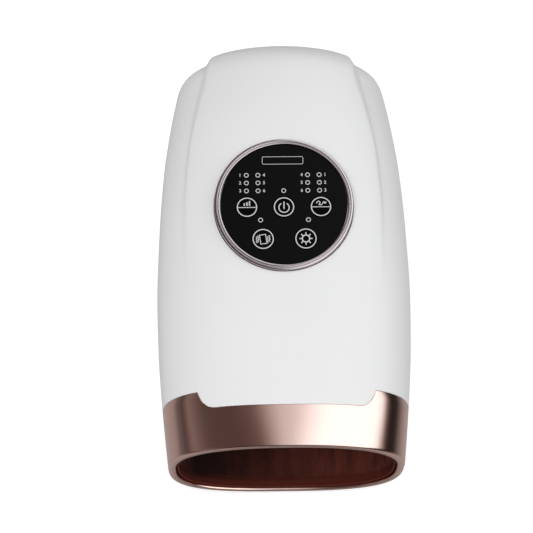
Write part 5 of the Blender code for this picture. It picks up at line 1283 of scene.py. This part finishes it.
def key_marks():
    """The lines on each key, as (points, width, closed): a switch sign, rising bars, a loop, a shaking hand
    unit and a sun."""
    bars = [([(x, 0.8), (x, top)], 0.75, False) for x, top in ((-1.5, 2.3), (0, 2.9), (1.4, 3.6))]
    divider = ([(-5.0, -0.15), (5.0, -0.15)], 0.45, False)
    loop = [(-2.5, 1.9), (-2.0, 2.9), (-1.2, 3.2), (-0.5, 2.7), (-0.6, 1.9), (-1.1, 1.3), (-0.4, 0.9),
            (0.6, 1.3), (1.0, 2.2), (1.5, 2.9), (2.4, 2.4)]
    rim = {body: (circle((0, 0), 5.35 if along > -0.3 else 5.55, 72), 0.6, True)
           for body, (_, _, along) in KEY_SHARES.items()}
    tilt = math.radians(8)
    box = [(x * math.cos(tilt) - y * math.sin(tilt), x * math.sin(tilt) + y * math.cos(tilt) - 0.2)
           for x, y in ((1.7, 2.65), (-1.7, 2.65), (-1.7, -2.65), (1.7, -2.65))]
    shakes = [([(x + (0.35 if i % 2 else -0.35), y - 0.75 * i) for i in range(6)], 0.45, False)
              for x, y in ((-3.55, 1.4), (-2.75, 1.9), (2.55, 1.5), (3.45, 2.1))]
    rays = [([(2.4 * math.cos(a), 2.4 * math.sin(a)), (3.7 * math.cos(a), 3.7 * math.sin(a))], 0.6, False)
            for a in np.radians(np.arange(8) * 45)]
    switch = (arc((0, -0.4), 2.85, 122, 418, 36), 0.6, False)
    barb = ([(1.6, 2.2), (2.5, 1.9), (2.9, 2.9)], 0.5, False)
    signs = {"power_key": [switch, ([(0, 3.1), (0, -1.2)], 0.65, False)],
             "intensity_key": bars + [divider],
             "mode_key": [(loop, 0.5, False), barb, divider],
             "vibration_key": [(box, 0.45, True)] + shakes,
             "heat_key": [(circle((0, 0), 2.05), 0.7, True)] + rays}
    return {body: [rim[body]] + lines for body, lines in signs.items()}


def strip_mesh(path, width, low, high, closed):
    """A flat printed line along a path in the plane, of an oblong section, mitred at its corners."""
    path = np.asarray(path, dtype=float)
    ahead = np.roll(path, -1, axis=0) - path
    behind = np.roll(ahead, 1, axis=0)
    if not closed:
        ahead[-1], behind[0] = ahead[-2], ahead[0]
    ahead, behind = [way / np.linalg.norm(way, axis=1, keepdims=True) for way in (ahead, behind)]
    along = ahead + behind
    along = along / np.linalg.norm(along, axis=1, keepdims=True)
    mitre = width / 2 / np.maximum(np.sum(along * ahead, axis=1, keepdims=True), 0.5)
    side = np.stack([-along[:, 1], along[:, 0]], axis=-1) * mitre
    corners = [(path + side, high), (path - side, high), (path - side, low), (path + side, low)]
    points = np.stack([np.concatenate([place, np.full((len(path), 1), z)], axis=1) for place, z in corners],
                      axis=1)
    if not closed:
        middles = [end.mean(axis=1, keepdims=True) for end in (points[:1], points[-1:])]
        first, last = [np.repeat(middle, 4, axis=1) for middle in middles]
        points = np.concatenate([first, points, last])
    return grid_mesh("strip", points, ring=True, tube=closed)


class MASSAGER_OT_panel_prints(bpy.types.Operator):
    """Print the lamp rings with plain numbers, the title frame, and each key's ring and sign"""
    bl_idname = "massager.panel_prints"
    bl_label = "Panel prints"

    def execute(self, context):
        centre = np.array([0, panel().panel_y])
        top = lens_top()
        lamps = [(column, row) for column, _, _ in LAMP_COLUMNS for row in LAMP_ROWS]
        lamp = circle((0, 0), LAMP_RADIUS, 28)
        marks = [(lamp, LAMP_LINE, True, place) for place in (*lamps, *SINGLE_LAMPS)]
        marks.append((self.title_frame(), TITLE_LINE, True, (0, 0)))
        meshes = [self.line(points, width, closed, centre + np.array(place) / 1000, top)
                  for points, width, closed, place in marks]
        for _, column, numbers in LAMP_COLUMNS:
            meshes += [self.number(number, centre + np.array([column, row]) / 1000, top)
                       for number, row in zip(numbers, LAMP_ROWS)]
        self.printed("lens_prints", meshes, "case")
        keys = key_places()
        for body, lines in key_marks().items():
            node, place = keys[body]
            self.printed(node + "_sign", [self.line(points, width, closed, place, top + panel().key_proud)
                                          for points, width, closed in lines], body)
        return {"FINISHED"}

    def title_frame(self):
        """The empty frame's outline, with round corners."""
        corners = ((TITLE_RIGHT, TITLE_HIGH, -1, -1), (TITLE_LEFT, TITLE_HIGH, 1, -1),
                   (TITLE_LEFT, TITLE_LOW, 1, 1), (TITLE_RIGHT, TITLE_LOW, -1, 1))
        outline = []
        for i, (x, y, right, up) in enumerate(corners):
            middle = (x + right * TITLE_CORNER, y + up * TITLE_CORNER)
            outline += arc(middle, TITLE_CORNER, 90 * i, 90 * i + 90, 5)
        return outline

    def line(self, points, width, closed, place, top):
        """One line, at a place on a surface of height top."""
        points = np.array(points) / 1000 + place
        return strip_mesh(points, width / 1000, top - INK_UNDER, top + INK_OVER, closed)

    def number(self, text, place, top):
        """One number, made a mesh."""
        curve = bpy.data.curves.new("number", "FONT")
        curve.body = text
        curve.size = 0.0026
        curve.offset = 0.00005
        curve.extrude = (INK_UNDER + INK_OVER) / 2
        curve.align_x = "CENTER"
        curve.align_y = "CENTER"
        made = bpy.data.objects.new("number", curve)
        bpy.context.scene.collection.objects.link(made)
        bpy.context.view_layer.update()
        mesh = bpy.data.meshes.new_from_object(made.evaluated_get(bpy.context.evaluated_depsgraph_get()))
        mesh.transform(Matrix.Translation((place[0], place[1], top + (INK_OVER - INK_UNDER) / 2)))
        bpy.data.objects.remove(made, do_unlink=True)
        bpy.data.curves.remove(curve)
        return mesh

    def printed(self, name, meshes, body):
        """Join the lines to one piece of ink."""
        joined = tool(name, *meshes)
        mesh = joined.data
        bpy.data.objects.remove(joined, do_unlink=True)
        mesh.name = name
        piece(name, mesh, body, "grey_plastic", look="print")


# ---------------------------------------------------------------- the fabric sleeve

def sleeve_ring(share, y, squeeze, turn):
    """A ring of the sleeve: the cuff's section at the mouth, eased by smooth(share) to the flat chamber's
    superellipse, with broad folds that fade towards both ends and fine gathers near the mouth:
    g exp(-((share - 0.16) / 0.22)^2) (1 + cos(58 turn + 1.7 sin(9 turn)))."""
    sizes = sleeve()
    gather_depth = 0.00042
    mouth = cuff_section(np.full_like(turn, rim_y() + sizes.funnel_front), sleeve_inset(), turn)
    flat = 2 / CHAMBER_POWER
    ease = smooth(share)[..., None]
    x = sizes.half_width * squeeze * signed_power(np.cos(turn), flat)
    z = sizes.middle + sizes.half_height * squeeze * signed_power(np.sin(turn), flat)
    chamber = np.stack([x, np.broadcast_to(y, turn.shape), z], axis=-1)
    ring = mouth * (1 - ease) + chamber * ease
    broad = sizes.fold_depth * np.sin(math.pi * share) * (1 - np.cos(2 * sizes.fold_count * turn)) / 2
    waves = 1 + np.cos(turn * 58 + 1.7 * np.sin(turn * 9))
    gather = gather_depth * np.exp(-((share - 0.16) / 0.22) ** 2) * waves
    fold = broad + gather * (share > 0)
    ring[..., 2] -= np.sign(np.sin(turn)) * fold * np.abs(np.sin(turn)) ** 0.5
    ring[..., 0] -= 0.4 * np.sign(np.cos(turn)) * fold * np.abs(np.cos(turn))
    return ring


def sleeve_inset():
    """How far the sleeve lies inside the cuff's skin."""
    return cuff().rim_wall + case().fit_gap


class MASSAGER_OT_sleeve(bpy.types.Operator):
    """Build the fabric sleeve with its folds, gathers and end seams"""
    bl_idname = "massager.sleeve"
    bl_label = "Fabric sleeve"

    def execute(self, context):
        sizes = sleeve()
        columns, funnel_rows, body_rows, tip_rows = 288, 44, 30, 14
        turn = np.linspace(0, 2 * math.pi, columns, endpoint=False)
        mouth = rim_y() + sizes.funnel_front
        shares = np.linspace(0, 1, funnel_rows)
        start = sizes.tip - sizes.tip_round
        body = np.linspace(mouth + sizes.funnel, start, body_rows)[1:]
        tip = np.linspace(0, math.pi / 2, tip_rows)[1:]
        share = np.concatenate([shares, np.ones(len(body) + len(tip))])
        y = np.concatenate([mouth + sizes.funnel * shares, body, start + sizes.tip_round * np.sin(tip)])
        squeeze = np.concatenate([np.ones(len(shares) + len(body)), np.sqrt(np.maximum(np.cos(tip), 0))])
        squeeze[-1] = 0
        grid = np.broadcast_to(turn, (len(y), len(turn))).copy()
        points = sleeve_ring(share[:, None], y[:, None], squeeze[:, None], grid)
        points = np.concatenate([self.hem(turn), points])
        mesh = grid_mesh("sleeve_cloth", points, ring=True, outwards=(0, 0, sizes.middle))
        self.cloth_map(mesh)
        made = piece("sleeve_cloth", mesh, "case", "burgundy_fabric", ["hand_lining"])
        add_wall(made, sizes.wall)
        self.seams(sizes)
        return {"FINISHED"}

    def seams(self, sizes):
        """The piping of the end seams: an arch on each end of the mouth, share = 0.42 cos(pi u), turn = u
        for u from -1/2 to 1/2. It lies on the cloth's inner face, moved in square to the section by the
        cloth's thickness."""
        radius, clear, step = 0.00045, 0.0001, 0.01
        u = np.linspace(-0.5, 0.5, 41)
        share = 0.42 * np.cos(math.pi * u)
        y = rim_y() + sizes.funnel_front + sizes.funnel * share
        for name, middle in (("seam_right", 0), ("seam_left", math.pi)):
            path = sleeve_ring(share, y, np.ones_like(u), middle + u)
            along = sleeve_ring(share, y, np.ones_like(u), middle + u + step) - path
            inwards = np.stack([-along[:, 2], np.zeros_like(u), along[:, 0]], axis=-1)
            inwards /= np.linalg.norm(inwards, axis=-1, keepdims=True)
            mesh = tube_mesh(name, path + inwards * (sizes.wall + clear), radius, 10)
            # the piping's dark finish is partly painted shadow along the seams
            piece(name, mesh, "case", "burgundy_fabric", look="seam")

    def hem(self, turn):
        """The straight mouth in front of the funnel: the cuff's section, rolled in behind the lip by a
        quarter circle: place = r (1 - cos b), inset = r (1 - sin b)."""
        sizes = sleeve()
        bend = np.linspace(0, math.pi / 2, 7)
        front = rim_y() + sizes.front
        straight = np.linspace(front + sizes.hem_round, rim_y() + sizes.funnel_front, 9)[1:-1]
        station = np.concatenate([front + sizes.hem_round * (1 - np.cos(bend)), straight])[:, None]
        drawn = np.concatenate([sizes.hem_round * (1 - np.sin(bend)), np.zeros(len(straight))])[:, None]
        grid = np.broadcast_to(turn, (len(station), len(turn)))
        return cuff_section(station + 0 * grid, sleeve_inset() + drawn, grid)

    def cloth_map(self, mesh):
        """The cloth's own map: about the distance round the section against the distance along the sleeve,
        20 to the metre."""
        co = np.zeros(len(mesh.vertices) * 3)
        mesh.vertices.foreach_get("co", co)
        co = co.reshape(-1, 3)
        loops = np.zeros(len(mesh.loops), dtype=np.int32)
        mesh.loops.foreach_get("vertex_index", loops)
        radius, centre, flatness = 0.05, 0.05, 0.5
        around = np.arctan2(co[:, 2] - centre, co[:, 0] * flatness) * radius
        uv = np.stack([around[loops], co[loops, 1]], axis=-1) * 20
        layer = mesh.uv_layers.new(name="cloth")
        layer.data.foreach_set("uv", uv.reshape(-1).astype(np.float32))


class MASSAGER_OT_air_bags(bpy.types.Operator):
    """Build the two air bags and the heating pad"""
    bl_idname = "massager.air_bags"
    bl_label = "Air bags and heating pad"

    def execute(self, context):
        for node in ("lower_airbag", "upper_airbag"):
            self.bag(node)
        self.pad()
        return {"FINISHED"}

    def bag(self, node):
        """A welded bag: half thickness = h (1 - r^6)^(1/2), r the share of the way to a superellipse
        outline of power 12, down to a flat weld round the edge, puckered by sin(turn) near it, with two
        welded channels across it and a nozzle at the back."""
        low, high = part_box(node)
        stub, stub_root, stub_radius, bore_depth, bore_radius = 0.0040, 0.004, 0.0022, 0.0035, 0.0014
        weld, welded_from = 0.00045, 0.955
        half = np.array([high.x, (high.y - stub - low.y) / 2])
        middle = np.array([0, low.y + half[1]])
        tall = (high.z - low.z) / 2 - weld
        turn = np.linspace(0, 2 * math.pi, 320, endpoint=False)
        edge = np.stack([signed_power(way, 1 / 6) for way in (np.cos(turn), np.sin(turn))], axis=-1) * half
        share = np.concatenate([np.linspace(0, 0.90, 34), np.linspace(0.905, welded_from, 8), [0.975, 1]])
        plan = share[:, None, None] * edge[None] + middle
        inner = np.clip(share / welded_from, 0, 1)[:, None]
        pucker = 1 - 0.09 * inner ** 8 * (1 + np.sin(70 * turn + 2 * np.sin(9 * turn)))[None, :]
        rise = tall * np.sqrt(np.maximum(1 - inner ** 6, 0)) * pucker
        rise = rise * self.channels(plan - middle, half) + weld
        centre = (low.z + high.z) / 2
        over, under = [np.concatenate([plan, (centre + side * rise)[..., None]], axis=-1) for side in (1, -1)]
        mesh = grid_mesh(node + "_pillow", np.concatenate([over, under[::-1]]), ring=True)
        made = piece(node + "_pillow", mesh, "case", "bag_film", [node])
        hose_low, hose_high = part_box(node.replace("airbag", "hose"))
        x = (hose_low.x + hose_high.x) / 2
        for name, first, last, radius, way in (
                ("stub", high.y - stub - stub_root, high.y, stub_radius, "UNION"),
                ("bore", high.y - bore_depth, high.y + PAST, bore_radius, "DIFFERENCE")):
            mesh = tube_mesh(name, [(x, first, centre), (x, last, centre)], radius, 24)
            cut(made, tool(name, mesh), operation=way)

    def channels(self, plan, half):
        """What two welded channels across the bag, short of its sides, leave of its thickness:
        1 - 0.85 exp(-(distance / 2.2 mm)^2)."""
        left = 1
        for place in (-0.36, 0.32):
            away = plan[..., 1] - place * half[1]
            short = np.clip((0.80 - np.abs(plan[..., 0]) / half[0]) / 0.10, 0, 1)
            left = left * (1 - 0.85 * np.exp(-(away / 0.0022) ** 2) * smooth(short))
        return left

    def pad(self):
        """The heating pad: a thin laid sheet, faintly waved, with its heater wire raised in lines 7 mm
        apart that fade out at both ends."""
        pitch, wire_half, wire_rise = 0.007, 0.0005, 0.00018
        margin, fade, lift, film = 0.004, 0.002, 0.00042, 0.0003
        sag, sag_length = 0.00008, 0.042
        low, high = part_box("heating_pad")
        x, y = np.meshgrid(np.linspace(low.x, high.x, 201), np.linspace(low.y, high.y, 121))
        wire = np.exp(-(((x / pitch) % 1 - 0.5) * pitch / wire_half) ** 2)
        wire = wire * smooth((high.y - margin - y) / fade) * smooth((y - low.y - margin) / fade)
        z = low.z + lift + wire_rise * wire + sag * np.cos(2 * math.pi * (y - low.y) / sag_length)
        mesh = grid_mesh("heater_sheet", np.stack([x, y, z], axis=-1), outwards=(0, 0, 0))
        made = piece("heater_sheet", mesh, "case", "amber_film", ["heating_pad"])
        add_wall(made, film)


# ---------------------------------------------------------------- what stays from the CAD, and the stage

class MASSAGER_OT_inner_parts(bpy.types.Operator):
    """Give every piece that stays from the CAD its finish"""
    bl_idname = "massager.inner_parts"
    bl_label = "Inner parts"

    def execute(self, context):
        known = [entry["slot"] for entry in frame["record"]["materials"]]
        for node in NODES.values():
            for slot in node.material_slots:
                name = slot.material.name.split(".")[0] if slot.material else None
                if name not in known:
                    raise RuntimeError(f"{node.name} has no known material slot")
                slot.material = finish(name)
        return {"FINISHED"}


def rays(tree, kind):
    """1 for the rays of one kind, and 0 for the others."""
    return add_node(tree, "LightPath", kind, {})


def seen(tree):
    """1 for what the camera sees straight or through clear plastic, and 0 for light on its way."""
    return combine(tree, "MAXIMUM", rays(tree, "Is Camera Ray"), rays(tree, "Is Transmission Ray"))


class MASSAGER_OT_stage(bpy.types.Operator):
    """Build the floor, the lamps, the world and the camera"""
    bl_idname = "massager.stage"
    bl_label = "Stage"

    def execute(self, context):
        self.camera(context.scene)
        self.floor()
        self.lamps()
        self.world(context.scene)
        context.scene.view_settings.view_transform = "Standard"
        return {"FINISHED"}

    def camera(self, scene):
        """The photograph's view: a long lens from above the cuff end."""
        settings = scene.massager_stage
        e, a, r = settings.elevation, settings.azimuth, settings.roll
        back = Vector((math.sin(a) * math.cos(e), -math.cos(a) * math.cos(e), math.sin(e)))
        right = Vector((math.cos(a), math.sin(a), 0))
        up = back.cross(right)
        x_axis = math.cos(r) * right - math.sin(r) * up
        y_axis = math.sin(r) * right + math.cos(r) * up
        place = Vector(CAMERA_AIM) + back * settings.distance
        lens = bpy.data.cameras.new("camera")
        lens.lens = LENS_MM
        lens.sensor_width = SENSOR_MM
        lens.shift_x, lens.shift_y = LENS_SHIFT
        made = bpy.data.objects.new("camera", lens)
        turn = Matrix((x_axis, y_axis, back)).transposed().to_4x4()
        made.matrix_world = Matrix.Translation(place) @ turn
        scene.collection.objects.link(made)
        scene.camera = made

    def floor(self):
        """A pale floor that shows white to the camera, keeps the object's shadow and reflects as
        FLOOR_SHADES."""
        half = bpy.context.scene.massager_stage.floor_size / 2
        line = np.linspace(-half, half, 3)
        x, y = np.meshgrid(line, line)
        mesh = grid_mesh("floor", np.stack([x, y, np.zeros_like(x)], axis=-1), outwards=(0, 0, -1))
        found, tree, shader = new_finish("floor_paper")
        place = object_place(tree)
        paper = mix(tree, noise(tree, place, 400, 2), (0.85, 0.85, 0.85), (0.87, 0.87, 0.87))
        feed(shader, {"Base Color": paper, "Roughness": 0.9, "Specular IOR Level": 0.0})
        strength = combine(tree, "MULTIPLY", seen(tree), FLOOR_GLOW)
        glow = add_node(tree, "Emission", "Emission", {"Color": WHITE, "Strength": strength})
        both = add_node(tree, "AddShader", "Shader", {0: shader.outputs["BSDF"], 1: glow})
        widest, warm = FLOOR_SHADES[-1][0], 0.97
        stops = [((x + widest) / 2 / widest, (red, red * warm, red * warm)) for x, red in FLOOR_SHADES]
        across = spread(tree, along_axis(tree, place, "X"), 0, 1, -widest, widest)
        reflected = add_node(tree, "Emission", "Emission",
                             {"Color": bands(tree, across, stops), "Strength": ROOM_LIGHT})
        either = add_node(tree, "MixShader", "Shader",
                          {"Fac": rays(tree, "Is Glossy Ray"), 1: both, 2: reflected})
        feed(tree.nodes["Material Output"], {"Surface": either})
        mesh.materials.append(found)
        made = bpy.data.objects.new("floor", mesh)
        bpy.context.scene.collection.objects.link(made)

    def lamps(self):
        """One broad soft lamp above the cuff, and a weaker one from the right."""
        for name, (place, size, power) in LAMPS.items():
            light = bpy.data.lights.new(name, "AREA")
            light.shape = "SQUARE"
            light.size = size
            light.energy = power
            made = bpy.data.objects.new(name, light)
            aim = (Vector(LAMP_AIM) - Vector(place)).to_track_quat("-Z", "Y")
            made.matrix_world = Matrix.Translation(place) @ aim.to_matrix().to_4x4()
            made.visible_camera = False
            made.visible_glossy = False
            bpy.context.scene.collection.objects.link(made)

    def world(self, scene):
        """White to the camera, a soft even fill on the object, and in reflections a studio that is bright
        to the right and dark to the left, its shade by atan2(x, z) of the direction, and dark in front."""
        world = bpy.data.worlds.new("room")
        world.use_nodes = True
        tree = world.node_tree
        tree.nodes.clear()
        direction = add_node(tree, "TexCoord", "Generated", {})
        angle = combine(tree, "ARCTAN2", along_axis(tree, direction, "X"), along_axis(tree, direction, "Z"))
        angle = spread(tree, angle, 0, 1, -math.pi / 2, math.pi / 2)
        stops = [((degrees + 90) / 180, shade) for degrees, shade in ROOM_SHADES]
        front = spread(tree, along_axis(tree, direction, "Y"), ROOM_FRONT, 1, *ROOM_FADE)
        strength = combine(tree, "MULTIPLY", front, ROOM_LIGHT)
        fill, room, shown = [add_node(tree, "Background", "Background", {"Color": shade, "Strength": power})
                             for shade, power in ((WHITE, ROOM_FILL), (bands(tree, angle, stops), strength),
                                                  (WHITE, 1.0))]
        lit = add_node(tree, "MixShader", "Shader", {"Fac": rays(tree, "Is Glossy Ray"), 1: fill, 2: room})
        both = add_node(tree, "MixShader", "Shader", {"Fac": seen(tree), 1: lit, 2: shown})
        feed(tree.nodes.new("ShaderNodeOutputWorld"), {"Surface": both})
        scene.world = world


class MASSAGER_PT_pieces(bpy.types.Panel):
    """The pieces and the stage, each with its button"""
    bl_idname = "MASSAGER_PT_pieces"
    bl_label = "Hand massager"
    bl_space_type = "VIEW_3D"
    bl_region_type = "UI"
    bl_category = "Massager"

    def draw(self, context):
        for step in STEPS:
            self.layout.operator(step.bl_idname)
        for group in GROUPS:
            box = self.layout.box()
            box.label(text=group.__doc__)
            settings = getattr(context.scene, GROUPS[group])
            for name in group.__annotations__:
                box.prop(settings, name)


GROUPS = {CaseSizes: "massager_case", CuffSizes: "massager_cuff", PanelSizes: "massager_panel",
          ScrewSizes: "massager_screws", SleeveSizes: "massager_sleeve", Finishes: "massager_finishes",
          StageSettings: "massager_stage"}
STEPS = (MASSAGER_OT_inner_parts, MASSAGER_OT_bottom_shell, MASSAGER_OT_top_shell, MASSAGER_OT_cuff_band,
         MASSAGER_OT_fixings, MASSAGER_OT_panel, MASSAGER_OT_panel_prints, MASSAGER_OT_sleeve,
         MASSAGER_OT_air_bags, MASSAGER_OT_stage)


def register():
    """Register the settings, the operators and the panel."""
    for group, name in GROUPS.items():
        bpy.utils.register_class(group)
        setattr(bpy.types.Scene, name, PointerProperty(type=group))
    for step in STEPS:
        bpy.utils.register_class(step)
    bpy.utils.register_class(MASSAGER_PT_pieces)


def unregister():
    """Take the panel, the operators and the settings out again."""
    bpy.utils.unregister_class(MASSAGER_PT_pieces)
    for step in reversed(STEPS):
        bpy.utils.unregister_class(step)
    for group, name in reversed(GROUPS.items()):
        delattr(bpy.types.Scene, name)
        bpy.utils.unregister_class(group)


def main():
    """Build everything in order."""
    register()
    for step in STEPS:
        family, name = step.bl_idname.split(".")
        getattr(getattr(bpy.ops, family), name)()
    bpy.context.view_layer.update()


if __name__ == "__main__":
    main()
